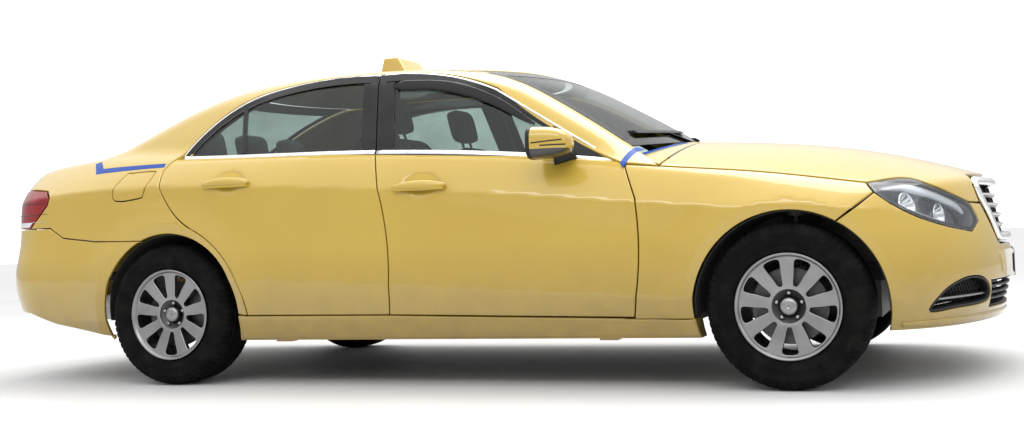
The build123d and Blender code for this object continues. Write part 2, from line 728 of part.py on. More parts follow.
def bow(x, bend, far_x, inset=0.0):
    """A block in plan, from a bowed line across the car, moved by inset from x, to far_x."""
    x = x + inset
    edges = [
        ThreePointArc((x, -FAR_Y), (x + bend, 0), (x, FAR_Y)),
        Line((x, FAR_Y), (far_x, FAR_Y)),
        Line((far_x, FAR_Y), (far_x, -FAR_Y)),
        Line((far_x, -FAR_Y), (x, -FAR_Y)),
    ]
    return extrude(make_face(edges), amount=PAST_TOP_Z)


def grille_prism(clear=0.0):
    outline = grown(mirrored_outline(GRILLE_OUTLINE), clear)
    return front_prism(outline, AXLE_FRONT_X, PAST_NOSE_X)


def bonnet():
    """The bonnet skin with its two hinge arms."""
    region = side_prism(grown(bonnet_points(), -LID_GAP / 2), y1=FAR_Y)
    skin = cut(SHELL & region, grille_prism(LID_GAP))
    skin = skin & bow(BONNET_REAR_X, BONNET_REAR_BOW, PAST_NOSE_X, LID_HINGE_GAP)
    x, z = BONNET_AXIS
    for y in (-BONNET_ARM_Y, BONNET_ARM_Y):
        arm_y, half = (y - ARM_T / 2, y + ARM_T / 2), BONNET_ARM_H / 2
        arm = box(x - HINGE_PIN_R * 2, BONNET_ARM_END_X, *arm_y, z - half, z + half)
        arm = arm + box(BONNET_ARM_END_X - BONNET_ARM_FOOT, BONNET_ARM_END_X, *arm_y, z - half, PAST_TOP_Z)
        arm = (arm & SIDE_VOID) - rod_y(x, z, HINGE_PIN_R + PIN_CLEARANCE, y - ARM_T, y + ARM_T)
        skin = skin + arm
    return skin


def cowl():
    """The strip between bonnet and windscreen, slotted for the hinge arms."""
    region = box(COWL_X[0], COWL_X[1], -COWL_HALF, COWL_HALF, FIREWALL_Z, PAST_TOP_Z)
    strip = cut(SHELL & region, TOP_OUTER)
    strip = strip - bow(BONNET_REAR_X, BONNET_REAR_BOW, PAST_NOSE_X)
    for y in (-BONNET_ARM_Y, BONNET_ARM_Y):
        half = ARM_T / 2 + RUN_CLEARANCE
        strip = strip - box(COWL_X[0], COWL_X[1], y - half, y + half, 0, PAST_TOP_Z)
    return strip


def boot_region(clear):
    """The block in which the boot lid lies, smaller for the lid and larger for its opening."""
    block = bow(BOOT_FRONT_X, -BOOT_FRONT_BOW, PAST_TAIL_X, -LID_HINGE_GAP if clear < 0 else 0.0)
    half = BOOT_HALF + clear
    return block & box(PAST_TAIL_X, AXLE_REAR_X, -half, half, BOOT_LOW_Z - clear, PAST_TOP_Z)


def boot_lid():
    """The boot lid skin with its two swan-neck arms."""
    lid = cut(SHELL & boot_region(-LID_GAP / 2), lid_lamp_block())
    x, z = BOOT_AXIS
    path = [(x + dx, z + dz) for dx, dz in BOOT_ARM_PATH]
    for y in (-BOOT_ARM_Y, BOOT_ARM_Y):
        arm = rod_y(x, z, ARM_T, y - ARM_T / 2, y + ARM_T / 2)
        for p, q in zip(path, path[1:]):
            length = math.dist(p, q)
            angle = math.degrees(math.atan2(q[1] - p[1], q[0] - p[0]))
            bar = Box(length + ARM_T, ARM_T, ARM_T)
            arm = arm + Pos((p[0] + q[0]) / 2, y, (p[1] + q[1]) / 2) * Rot(0, -angle, 0) * bar
        arm = (arm & SIDE_VOID) - rod_y(x, z, HINGE_PIN_R + PIN_CLEARANCE, y - ARM_T, y + ARM_T)
        lid = lid + arm
    return lid


def lid_lamp_block():
    """The part of the tail lamps carried by the boot lid."""
    block = box(PAST_TAIL_X, LID_LAMP_X, -LID_LAMP_OUT, LID_LAMP_OUT, *LID_LAMP_Z)
    return block - box(PAST_TAIL_X, LID_LAMP_X, -LID_LAMP_IN, LID_LAMP_IN, *LID_LAMP_Z)


def tail_lamp():
    block = side_prism(grown(TAIL_LAMP, -SEAM), y1=-BOOT_HALF - LID_GAP / 2)
    return SHELL & block


def rear_deck():
    """The strip between the rear window and the boot lid."""
    half = BOOT_HALF + LID_GAP / 2 - SEAM
    strip = SHELL & box(PAST_TAIL_X, BENCH_WALL_X[1], -half, half, FIREWALL_Z, PAST_TOP_Z)
    return cut(strip, TOP_OUTER, boot_region(LID_GAP / 2))


def quarter_panel():
    """The right rear wing, from the door opening to the tail."""
    inner_y = -BOOT_HALF - LID_GAP / 2
    region = box(PAST_TAIL_X, QUARTER_FRONT_X, -FAR_Y, inner_y, SILL_TOP_REAR_Z, PAST_TOP_Z)
    bumper = side_prism([*REAR_BUMPER_TOP, *REAR_BUMPER_FOOT])
    opening = side_prism(grown(rear_door_points(), DOOR_GAP / 2))
    return cut(SHELL & region, opening, ARCHES[1], bumper, side_prism(TAIL_LAMP))


def rear_bumper():
    """The rear bumper; its lower edge rises behind the wheels."""
    region = side_prism(grown([*REAR_BUMPER_TOP, *REAR_BUMPER_LOW], -SEAM), y1=FAR_Y)
    arches = ARCHES[1] + on_left(ARCHES[1])
    return cut(SHELL & region, arches, boot_region(LID_GAP / 2))


def fender():
    """The right front wing."""
    low_z, rear_x, tip_x = SILL_SPLIT_Z + SEAM, FENDER_REAR_X[0], FENDER_REAR_X[1]
    outline = [
        (rear_x, low_z),
        (AXLE_FRONT_X, low_z),
        (AXLE_FRONT_X, BUMPER_TAIL_Z),
        BUMPER_ARCH,
        BUMPER_LAMP,
        BONNET_SIDE_FRONT,
        (BONNET_SIDE_FRONT[0], FENDER_TOP_Z),
        (tip_x, FENDER_TOP_Z),
        (tip_x, FENDER_STEP_Z),
        (rear_x, FENDER_STEP_Z),
    ]
    region = side_prism(outline, y1=-COWL_HALF - SEAM)
    opening = side_prism(grown(front_door_points(), DOOR_GAP / 2))
    lid = side_prism(grown(bonnet_points(), LID_GAP / 2)) & bow(BONNET_REAR_X, BONNET_REAR_BOW, PAST_NOSE_X)
    return cut(SHELL & region, opening, ARCHES[0], lid, TOP_OUTER)


def sill():
    """The right sill under the doors, a closed box."""
    top_z = SILL_TOP_REAR_Z - SEAM
    outline = [
        (SILL_X[0], VOID_BOTTOM_Z),
        (SILL_X[0], top_z),
        (SILL_STEP_X[0], top_z),
        (SILL_STEP_X[1], SILL_SPLIT_Z),
        (SILL_X[1], SILL_SPLIT_Z),
        (SILL_X[1], VOID_BOTTOM_Z),
    ]
    region = side_prism(outline, y1=-SILL_INNER_Y)
    openings = [side_prism(grown(door, DOOR_GAP / 2)) for door in (front_door_points(), rear_door_points())]
    panel = cut(OUTER & region, *openings, *ARCHES)
    length, width = JACK_PAD_SIZE
    for x in JACK_PAD_X:
        pad_y = (-JACK_PAD_Y - width / 2, -JACK_PAD_Y + width / 2)
        panel = panel + box(x - length / 2, x + length / 2, *pad_y, GROUND_CLEARANCE - JACK_PAD_DROP, FLOOR_Z)
    return panel


def headlamp():
    block = side_prism(grown(lamp_points(), -SEAM), y1=-LAMP_INNER_Y)
    return cut(SHELL & block, grille_prism(SEAM))


def front_bumper():
    region = side_prism(grown(bumper_points(), -SEAM), y1=FAR_Y)
    arches = ARCHES[0] + on_left(ARCHES[0])
    fogs = side_prism(FOG_OUTLINE, y1=-FOG_INNER_Y)
    fogs = fogs + on_left(fogs)
    intake = front_prism(INTAKE_OUTLINE, AXLE_FRONT_X, PAST_NOSE_X)
    return cut(SHELL & region, arches, grille_prism(SEAM), intake, fogs)


def bumper_grilles():
    """Black inserts of the bumper openings, set back from the skin."""
    skin = lower_body(INSERT_SET, 0) - lower_body(INSERT_SET + INSERT_T, 0, VOID_BOTTOM_Z)
    middle = skin & front_prism(INTAKE_OUTLINE, AXLE_FRONT_X, PAST_NOSE_X)
    fog = skin & side_prism(FOG_OUTLINE, y1=-FOG_INNER_Y)
    return Compound(children=[*middle.solids(), *fog.solids(), *on_left(fog).solids()])


def grille():
    """The upright radiator grille: a rim with level bars."""
    block = (OUTER - lower_body(GRILLE_DEPTH, TOP_WALL)) & grille_prism(0)
    inner = grown(mirrored_outline(GRILLE_OUTLINE), -GRILLE_RIM)
    rim = block - front_prism(inner, AXLE_FRONT_X, PAST_NOSE_X)
    low, high = GRILLE_OUTLINE[-1][1] + GRILLE_RIM, GRILLE_OUTLINE[0][1] - GRILLE_RIM
    for i in range(GRILLE_BARS):
        z = low + (high - low) * (i + 0.5) / GRILLE_BARS
        bar = box(AXLE_FRONT_X, PAST_NOSE_X, -FAR_Y, FAR_Y, z - GRILLE_BAR_H / 2, z + GRILLE_BAR_H / 2)
        rim = rim + (block & bar)
    return rim


def roof():
    """The roof with the pillars beside both screens."""
    openings = [side_prism(grown(door, DOOR_GAP / 2)) for door in (front_door_points(), rear_door_points())]
    openings += [on_left(opening) for opening in openings]
    panes = ((SCREEN_OUTLINE, SCREEN_X), (REAR_SCREEN_OUTLINE, REAR_SCREEN_X))
    screens = [front_prism(mirrored_outline(outline), *span) for outline, span in panes]
    return cut(TOP_OUTER, TOP_VOID, OUTER, *openings, *screens)


def screen(outline, x0, x1):
    """A windscreen or rear window pane filling its opening."""
    skin = greenhouse(GLASS_SET, ROOF_WALL) - greenhouse(GLASS_SET + GLASS_T, ROOF_WALL + GLASS_T)
    return cut(skin & front_prism(mirrored_outline(outline), x0, x1), OUTER)


def middle_pillar(foot):
    """The pillar between the doors: its foot, an inner plate past the belt and the upper part."""
    inset = FRAME_WALL + POST_CLEARANCE
    band = greenhouse(inset, ROOF_WALL) - greenhouse(inset + POST_DEPTH, ROOF_WALL)
    top_x, belt_x = DOOR_SPLIT_TOP[0], DOOR_SPLIT_BELT[0]
    low_z, high_z = PILLAR_Z
    strip = [
        (top_x - PILLAR_HALF, high_z),
        (top_x + PILLAR_HALF, high_z),
        (belt_x + PILLAR_HALF, low_z),
        (belt_x - PILLAR_HALF, low_z),
    ]
    x0, x1 = foot.bounding_box().min.X, foot.bounding_box().max.X
    knee_z = POST_TOP_Z - PILLAR_KNEE_H
    knee = box(x0, x1, -POST_INNER_Y - POST_CLEARANCE, -PILLAR_INNER_Y, knee_z, POST_TOP_Z)
    plate_y = (-DOOR_INNER_Y + POST_CLEARANCE, -PILLAR_INNER_Y)
    plate = box(belt_x - PILLAR_HALF, belt_x + PILLAR_HALF, *plate_y, knee_z, low_z + PILLAR_LAP)
    return foot + knee + plate + (band & side_prism(strip))


def between(side, a, b):
    """The span from a to b on the left when side is 1, or its mirror image on the right when it is -1."""
    return sorted((side * a, side * b))


def floor_pan():
    """Floor, tunnel, bulkheads, boot floor, front rails, strut towers and the lid hinge pins."""
    floor_y, floor_low = SILL_INNER_Y - SEAM, FLOOR_Z - FLOOR_T
    wall_x, well = FIREWALL_X - FIREWALL_T, WELL_INNER_Y
    back_x = FLOOR_REAR_X - FLOOR_OVERLAP
    front_x = FLOOR_REAR_X + FLOOR_OVERLAP
    pan = box(FLOOR_REAR_X, FIREWALL_X, -floor_y, floor_y, floor_low, FLOOR_Z)
    pan = pan + box(FLOOR_REAR_X, FIREWALL_X, -TUNNEL_HALF, TUNNEL_HALF, floor_low, TUNNEL_Z)
    pan = pan + box(wall_x, FIREWALL_X, -FIREWALL_HALF, FIREWALL_HALF, floor_low, FIREWALL_Z)
    pan = pan + box(wall_x, FIREWALL_X, -COWL_WALL_HALF, COWL_WALL_HALF, FLOOR_Z, COWL_WALL_Z)
    pan = pan + box(back_x, front_x, -well, well, floor_low, BOOT_FLOOR_Z)
    pan = pan + box(BOOT_REAR_X, front_x, -well, well, BOOT_FLOOR_Z - BOOT_FLOOR_T, BOOT_FLOOR_Z)
    pan = pan + box(*BENCH_WALL_X, -BENCH_WALL_HALF, BENCH_WALL_HALF, ARCH_Z + ARCH_R + LINER_SET, SHELF_Z)
    pan = pan + box(*BENCH_WALL_X, -well, well, BOOT_FLOOR_Z - FLOOR_OVERLAP, SHELF_Z)
    pan = pan + box(SHELF_X, BENCH_WALL_X[1], -SHELF_HALF, SHELF_HALF, SHELF_Z - SHELF_T, SHELF_Z)
    tower_x = (AXLE_FRONT_X - TOWER_HALF, AXLE_FRONT_X + TOWER_HALF)
    rail_inner, rail_outer = RAIL_Y
    wall_inner = rail_outer - TOWER_T
    lug_y = BOOT_ARM_Y + ARM_T / 2 + PIN_END_CLEARANCE
    lug_x = (BOOT_AXIS[0] - LUG_T, BOOT_AXIS[0] + LUG_T)
    lug_z = BOOT_AXIS[1] - LUG_T
    slot = ARM_T / 2 + RUN_CLEARANCE
    for s in (-1, 1):
        pan = pan + box(wall_x, PAST_NOSE_X, *between(s, rail_inner, rail_outer), *RAIL_Z)
        pan = pan + box(*tower_x, *between(s, wall_inner, rail_outer), RAIL_Z[0], TOWER_Z)
        pan = pan + box(*tower_x, *between(s, wall_inner, TOWER_OUTER_Y), TOWER_Z - TOWER_T, TOWER_Z)
        pan = pan + box(*lug_x, *between(s, lug_y, lug_y + LUG_T), lug_z, SHELF_Z - SHELF_T / 2)
        slot_y = between(s, BONNET_ARM_Y - slot, BONNET_ARM_Y + slot)
        pan = pan - box(*COWL_X, *slot_y, BONNET_AXIS[1] - 2 * BONNET_ARM_H, PAST_TOP_Z)
        for (x, z), arm_y in ((BONNET_AXIS, BONNET_ARM_Y), (BOOT_AXIS, BOOT_ARM_Y)):
            start, end = arm_y - ARM_T / 2 - RUN_CLEARANCE, arm_y + ARM_T / 2 + LUG_T
            pan = pan + rod_y(x, z, HINGE_PIN_R, *between(s, start, end))
    front = box(wall_x, PAST_NOSE_X, -FAR_Y, FAR_Y, 0, PAST_TOP_Z)
    return (pan - front) + (pan & front & SIDE_VOID)


def wheel_liner(axle_x):
    ring = arch_cylinder(axle_x, ARCH_R - SEAM) - arch_cylinder(axle_x, ARCH_R - LINER_T)
    ring = ring & box(axle_x - 500, axle_x + 500, -FAR_Y, -WELL_INNER_Y, 300, 900)
    strut = box(axle_x - 75, axle_x + 75, -STRUT_Y - 75, -WELL_INNER_Y, 500, 900)
    return (ring & lower_body(LINER_SET, 0)) - strut


def tyre(y):
    """A tyre turned from its half section: bead, sidewall, shoulder and tread."""
    half = TYRE_WIDTH / 2
    profile = [
        (RIM_BEAD_R, -BEAD_HALF),
        (RIM_FLANGE_R + 4, -BEAD_HALF),
        (RIM_FLANGE_R + 10, -half + 6),
        (TYRE_R - 55, -half),
        (TYRE_R - 21, -half + 8),
        (TYRE_R - 5, -half + 22),
        (TYRE_R, -half + 40),
    ]
    points = profile + [(r, -h) for r, h in reversed(profile)]
    ring = make_face(Polyline(*[(r, h) for r, h in points], close=True).edges())
    solid = revolve(ring, Axis.Y)
    return Pos(0, y, TYRE_R) * solid


def rim(y):
    """A nine-spoke wheel; its face looks to negative y."""
    half = RIM_HALF
    well = RIM_BEAD_R - SEAM
    barrel, bead = well - RIM_WALL, BEAD_HALF + SEAM
    face = [(barrel, -half), (RIM_FLANGE_R, -half), (RIM_FLANGE_R, -bead), (well, -bead)]
    points = face + [(r, -y) for r, y in reversed(face)]
    wheel = revolve(make_face(Polyline(*points, close=True).edges()), Axis.Y)
    wheel = wheel + rod_y(0, 0, HUB_R, HUB_BACK, HUB_FACE)
    blade = make_face(Polyline(*SPOKE_OUTLINE, close=True).edges())
    spoke = Pos(0, SPOKE_BACK, 0) * extrude(Plane.XZ * blade, amount=SPOKE_T)
    for i in range(SPOKES):
        wheel = wheel + Rot(0, i * 360 / SPOKES, 0) * spoke
    for i in range(BOLTS):
        angle = 2 * math.pi * (i + 0.5) / BOLTS
        bolt_x, bolt_z = BOLT_CIRCLE_R * math.sin(angle), BOLT_CIRCLE_R * math.cos(angle)
        wheel = wheel - rod_y(bolt_x, bolt_z, BOLT_R, HUB_FACE - TYRE_WIDTH, HUB_FACE + BOLT_DEPTH)
    wheel = wheel - rod_y(0, 0, AXLE_R + PIN_CLEARANCE, HUB_FACE + 12, 200)
    return Pos(0, y, TYRE_R) * wheel


def rear_carrier():
    """The fixed hub carrier on the right with its stub axle, disc and links."""
    y = TRACK_REAR / 2
    stub = rod_y(AXLE_REAR_X, TYRE_R, AXLE_R, -y + HUB_FACE + 14, -y + 130)
    block = box(AXLE_REAR_X - 45, AXLE_REAR_X + 45, -y + 60, -y + 130, TYRE_R - 110, TYRE_R + 110)
    disc = rod_y(AXLE_REAR_X, TYRE_R, DISC_R, -y + DISC_OUT, -y + DISC_IN)
    link = box(AXLE_REAR_X - 25, AXLE_REAR_X + 25, -y + 120, -360, TYRE_R - 110, TYRE_R - 70)
    upper = box(AXLE_REAR_X - 25, AXLE_REAR_X + 25, -y + 120, -360, TYRE_R + 70, TYRE_R + 105)
    return stub + block + disc + link + upper


def rear_suspension():
    beam = box(AXLE_REAR_X - 110, AXLE_REAR_X + 110, -380, 380, TYRE_R - 120, BOOT_FLOOR_Z - 30)
    return beam + rear_carrier() + on_left(rear_carrier())


def knuckle():
    """The steered upright on the right: post, stub axle, disc and steering lever."""
    x, y, wheel_y = AXLE_FRONT_X, -KINGPIN_Y, -TRACK_FRONT / 2
    post = rod_z(x, y, POST_R, TYRE_R - POST_HALF, TYRE_R + POST_HALF)
    post = post + rod_y(x, TYRE_R, AXLE_R, wheel_y + HUB_FACE + 14, y)
    post = post + rod_y(x, TYRE_R, DISC_R, wheel_y + DISC_OUT, wheel_y + DISC_IN)
    post = post + box(x - 125, x, y - 12, y + 12, TYRE_R - 60, TYRE_R - 36)
    for s in (-1, 1):
        end = TYRE_R + s * POST_HALF
        z0, z1 = sorted((end + s, end - s * 32))
        post = post - rod_z(x, y, PIVOT_R + PIN_CLEARANCE, z0, z1)
    return post


def front_suspension():
    """Crossmember, arms and struts; each side carries two short pivots for the knuckle."""
    beam = box(AXLE_FRONT_X - 130, AXLE_FRONT_X + 130, -RAIL_Y[1], RAIL_Y[1], *SUBFRAME_Z)
    for s in (-1, 1):
        inner, outer = RAIL_Y
        y0, y1 = sorted((s * inner, s * outer))
        beam = beam + box(AXLE_FRONT_X - 60, AXLE_FRONT_X + 60, y0, y1, 230, 400)
        pivot_low, pivot_high = TYRE_R - POST_HALF, TYRE_R + POST_HALF
        y0, y1 = sorted((s * (outer - 20), s * (KINGPIN_Y + 18)))
        beam = beam + box(AXLE_FRONT_X - 18, AXLE_FRONT_X + 18, y0, y1, pivot_low - 24, pivot_low - 0.5)
        beam = beam + rod_z(AXLE_FRONT_X, s * KINGPIN_Y, PIVOT_R, pivot_low - 2, pivot_low + 30)
        y0, y1 = sorted((s * (STRUT_Y - 18), s * (KINGPIN_Y + 18)))
        beam = beam + box(AXLE_FRONT_X - 18, AXLE_FRONT_X + 18, y0, y1, pivot_high + 0.5, pivot_high + 24)
        beam = beam + rod_z(AXLE_FRONT_X, s * KINGPIN_Y, PIVOT_R, pivot_high - 30, pivot_high + 2)
        y0, y1 = sorted((s * outer, s * (STRUT_Y + 18)))
        beam = beam + box(AXLE_FRONT_X - 18, AXLE_FRONT_X + 18, y0, y1, pivot_high + 0.5, pivot_high + 24)
        beam = beam + rod_z(AXLE_FRONT_X, s * STRUT_Y, 18, pivot_high + 2, TOWER_Z - 20)
        beam = beam + rod_z(AXLE_FRONT_X, s * STRUT_Y, COIL_R, 680, TOWER_Z - 20)
    return beam


def cushion(size, rounding, place, tilt):
    """A rounded block of upholstery, leant back by tilt degrees."""
    return Pos(*place) * Rot(0, -tilt, 0) * fillet(Box(*size).edges(), rounding)


def front_seat():
    """The right front seat on its rails: base, back and head rest on two stalks."""
    seat = cushion(SEAT_BASE_SIZE, 40, (SEAT_BASE_X, -SEAT_Y, FLOOR_Z + SEAT_BASE_H), 0)
    seat = seat + cushion(SEAT_BACK_SIZE, 45, (SEAT_BACK_X, -SEAT_Y, FLOOR_Z + SEAT_BACK_H), SEAT_LEAN)
    seat = seat + cushion(HEAD_REST_SIZE, 35, (HEAD_REST_X, -SEAT_Y, FLOOR_Z + HEAD_REST_H), HEAD_REST_LEAN)
    for y in (-SEAT_Y - STALK_OUT, -SEAT_Y + STALK_OUT):
        stalk = Rot(0, -STALK_LEAN, 0) * Cylinder(STALK_R, STALK_L)
        seat = seat + Pos(STALK_X, y, FLOOR_Z + STALK_H) * stalk
    for y in (-SEAT_Y - RAIL_OUT, -SEAT_Y + RAIL_OUT):
        rail_y = (y - SEAT_RAIL_HALF, y + SEAT_RAIL_HALF)
        seat = seat + box(*SEAT_RAIL_X, *rail_y, FLOOR_Z, FLOOR_Z + SEAT_RAIL_H)
    return seat


def rear_seat():
    """The rear bench on the raised floor, narrowed between the wheel wells."""
    base = fillet(box(*BENCH_X, -BENCH_HALF, BENCH_HALF, *BENCH_Z).edges(), 40)
    step_x, step_z = FLOOR_REAR_X + FLOOR_OVERLAP + SEAM, BOOT_FLOOR_Z + SEAM
    base = base - box(PAST_TAIL_X, step_x, -FAR_Y, FAR_Y, 0, step_z)
    seat = base + cushion(BENCH_BACK_SIZE, 40, BENCH_BACK_PLACE, BENCH_LEAN)
    seat = seat + box(*BENCH_FOOT_X, -BENCH_FOOT_HALF, BENCH_FOOT_HALF, step_z, BENCH_FOOT_Z)
    for y in (-SEAT_Y, 0, SEAT_Y):
        seat = seat + cushion(BENCH_REST_SIZE, 30, (BENCH_REST_X, y, BENCH_REST_Z), BENCH_REST_LEAN)
    well = arch_cylinder(AXLE_REAR_X, ARCH_R + RUN_CLEARANCE)
    behind = box(PAST_TAIL_X, BENCH_WALL_X[1] + SEAM, -FAR_Y, FAR_Y, 0, PAST_TOP_Z)
    return cut(seat, well, on_left(well), behind)


def dashboard():
    """The dash from pillar to pillar with its centre console."""
    back_x = FIREWALL_X - FIREWALL_T - SEAM
    profile = [(back_x, DASH_BACK_Z[0]), (back_x, DASH_BACK_Z[1]), *DASH_PROFILE]
    body = side_prism(profile, -DASH_HALF, DASH_HALF) & lower_body(DOOR_WALL + RUN_CLEARANCE, TOP_WALL)
    console = box(*CONSOLE_X, -CONSOLE_HALF, CONSOLE_HALF, TUNNEL_Z + SEAM, TUNNEL_Z + CONSOLE_H)
    return body + console - column_bore()


def column_bore():
    return column_place(Cylinder(COLUMN_R + PIN_CLEARANCE, 2 * COLUMN_L + 20))


def column_place(shape):
    """A shape drawn about z, carried to the steering column with +z towards the driver."""
    x, y, z = WHEEL_CENTRE
    return Pos(x, y, z) * Rot(0, -(90 - COLUMN_TILT), 0) * shape


def steering_wheel():
    """Rim, hub, three spokes and the column in one."""
    wheel = Torus(WHEEL_RIM_R, WHEEL_GRIP_R) + Cylinder(WHEEL_HUB_R, WHEEL_HUB_H)
    spoke = Box(WHEEL_RIM_R - WHEEL_SPOKE_INSET, WHEEL_SPOKE_W, WHEEL_SPOKE_T)
    for angle in WHEEL_SPOKE_ANGLES:
        wheel = wheel + Rot(0, 0, angle) * (Pos(WHEEL_RIM_R / 2, 0, 0) * spoke)
    column = Pos(0, 0, -COLUMN_L / 2) * Cylinder(COLUMN_R, COLUMN_L)
    return column_place(Rot(0, 0, 90) * wheel + column)


def roof_sign():
    """The blank roof sign on its foot, following the roof."""
    x0, x1, y0, y1, z0, z1 = SIGN_BOX
    low = make_face(Polyline((x0, y0), (x1, y0), (x1, y1), (x0, y1), close=True).edges())
    x0, x1, y0, y1 = x0 + SIGN_LEAN[0], x1 - SIGN_LEAN[0], y0 + SIGN_LEAN[1], y1 - SIGN_LEAN[1]
    high = make_face(Polyline((x0, y0), (x1, y0), (x1, y1), (x0, y1), close=True).edges())
    sign = loft([Pos(0, 0, z0) * low, Pos(0, 0, z1) * high])
    return sign - greenhouse(0, -SEAM)


def wipers():
    """Two wiper blades on the windscreen, each on an arm from the cowl."""
    band = greenhouse(-WIPER_T, 0) - greenhouse(GLASS_SET - SEAM, 0)
    pieces = []
    for y0, y1, pivot in WIPER_SPANS:
        middle = (y0 + y1) / 2
        low, high = BLADE_Z
        blade = [(y0, low), (y1, high), (y1, high + BLADE_H), (y0, low + BLADE_H)]
        arm_z = (low + high + BLADE_H) / 2
        tip = [(middle - ARM_TIP, arm_z), (middle + ARM_TIP, arm_z)]
        arm = [*tip, (pivot + ARM_ROOT, ARM_ROOT_Z), (pivot - ARM_ROOT, ARM_ROOT_Z)]
        wiper = (band & front_prism(blade, *WIPER_X)) + (band & front_prism(arm, *WIPER_X))
        pieces += [*(wiper - OUTER).solids()]
    return Compound(children=pieces)


def plate(span_x, span_z):
    """A blank number plate whose back follows the body."""
    return cut(box(*span_x, -PLATE_HALF, PLATE_HALF, *span_z), OUTER)


def exhaust():
    """The rear silencer hung under the boot floor, with the pipe that feeds it."""
    silencer = box(*SILENCER_X, -SILENCER_HALF, SILENCER_HALF, *SILENCER_Z)
    silencer = fillet(silencer.edges().filter_by(Axis.Y), SILENCER_ROUND)
    pipe = box(SILENCER_X[1], PIPE_FRONT_X, -PIPE_HALF, PIPE_HALF, *PIPE_Z)
    hanger_top = BOOT_FLOOR_Z - BOOT_FLOOR_T - SEAM
    hanger = box(*HANGER_X, -LUG_T, LUG_T, SILENCER_Z[1] - FLOOR_OVERLAP, hanger_top)
    riser_x = (SILENCER_X[1] - PIPE_HALF, SILENCER_X[1] + FLOOR_OVERLAP)
    riser = box(*riser_x, -PIPE_HALF, PIPE_HALF, PIPE_Z[0], SILENCER_Z[0] + SILENCER_ROUND)
    return silencer + pipe + hanger + riser


def save(name, shape):
    shape = shape if isinstance(shape, (Compound, Solid, Part)) else Compound(children=list(shape))
    export_step(shape, f"parts/{name}.step")
    print(name, len(shape.solids()))


def main():
    os.makedirs("parts", exist_ok=True)
    front_edge, rear_edge = FRONT_DOOR_MID[0] - DOOR_GAP / 2, DOOR_SPLIT_MID[0] - DOOR_GAP / 2
    front_points, rear_points = front_door_points(), rear_door_points()
    front = hinged_door(door_panel(front_points, DOOR_EASE_TOP), front_edge)
    front = front - scoop(*FRONT_HANDLE) + handle(*FRONT_HANDLE)
    rear = hinged_door(door_panel(rear_points, DOOR_EASE_TOP), rear_edge)
    rear = rear - scoop(*REAR_HANDLE) + handle(*REAR_HANDLE)
    front_glass, rear_glass = door_glass(front_points), door_glass(rear_points)
    mirror_head = door_mirror()
    save("door_fr", front)
    save("door_fl", on_left(front))
    save("door_rr", rear)
    save("door_rl", on_left(rear))
    save("glass_fr", front_glass)
    save("glass_fl", on_left(front_glass))
    save("glass_rr", rear_glass)
    save("glass_rl", on_left(rear_glass))
    save("mirror_fr", mirror_head)
    save("mirror_fl", on_left(mirror_head))
    sill_box = sill()
    b_front = split_x(POST_TOP_Z) - DOOR_GAP / 2 - POST_CLEARANCE
    a_post = door_post(front_edge, front_edge + POST_FORWARD, sill_box)
    b_post = door_post(rear_edge, b_front, sill_box)
    hinges = hinge_arms(front_edge, a_post) + hinge_arms(rear_edge, b_post)
    save("door_hinges", both(Compound(children=hinges)))
    save("pillars", both(Compound(children=[*a_post.solids(), *middle_pillar(b_post).solids()])))
    save("bonnet", bonnet())
    save("cowl", cowl())
    save("boot_lid", boot_lid())
    save("lid_lamps", SHELL & lid_lamp_block())
    save("tail_lamps", both(tail_lamp()))
    save("rear_deck", rear_deck())
    save("quarter_panels", both(quarter_panel()))
    save("rear_bumper", rear_bumper())
    save("front_fenders", both(fender()))
    save("sills", both(sill_box))
    save("headlamps", both(headlamp()))
    save("front_bumper", front_bumper())
    save("bumper_grilles", bumper_grilles())
    save("grille", grille())
    save("roof", roof())
    save("windscreen", screen(SCREEN_OUTLINE, *SCREEN_X))
    save("rear_window", screen(REAR_SCREEN_OUTLINE, *REAR_SCREEN_X))
    save("floor_pan", floor_pan())
    liners = [*wheel_liner(AXLE_FRONT_X).solids(), *wheel_liner(AXLE_REAR_X).solids()]
    save("wheel_liners", both(Compound(children=liners)))
    save("rear_suspension", rear_suspension())
    save("front_suspension", front_suspension())
    save("knuckle_right", knuckle())
    save("knuckle_left", on_left(knuckle()))
    for name, x, track in (("f", AXLE_FRONT_X, TRACK_FRONT), ("r", AXLE_REAR_X, TRACK_REAR)):
        wheel = Pos(x, 0, 0) * rim(-track / 2)
        rubber = Pos(x, 0, 0) * tyre(-track / 2)
        save(f"rim_{name}r", wheel)
        save(f"rim_{name}l", on_left(wheel))
        save(f"tyre_{name}r", rubber)
        save(f"tyre_{name}l", on_left(rubber))
    save("front_seats", both(front_seat()))
    save("rear_seat", rear_seat())
    save("dashboard", dashboard())
    save("steering_wheel", steering_wheel())
    save("roof_sign", roof_sign())
    save("wipers", wipers())
    save("front_plate", plate(FRONT_PLATE_X, FRONT_PLATE_Z))
    save("rear_plate", plate(REAR_PLATE_X, REAR_PLATE_Z))
    save("engine", box(*ENGINE_X, -ENGINE_HALF, ENGINE_HALF, SUBFRAME_Z[1] + SEAM, ENGINE_TOP_Z))
    save("exhaust", exhaust())


if __name__ == "__main__":
    main()
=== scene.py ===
"""Looks of the taxi cab: painted skins, glass, lamps, wheels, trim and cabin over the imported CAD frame.

All shapes are worked out in millimetres in the CAD frame (+X forward, +Y to the car's left, +Z up) and
turned into metres when a mesh is made. Right-hand pieces are drawn at negative y and mirrored for the left.
"""

import math

import bmesh
import bpy
import numpy as np
from mathutils import Matrix, Vector
from mathutils.geometry import delaunay_2d_cdt


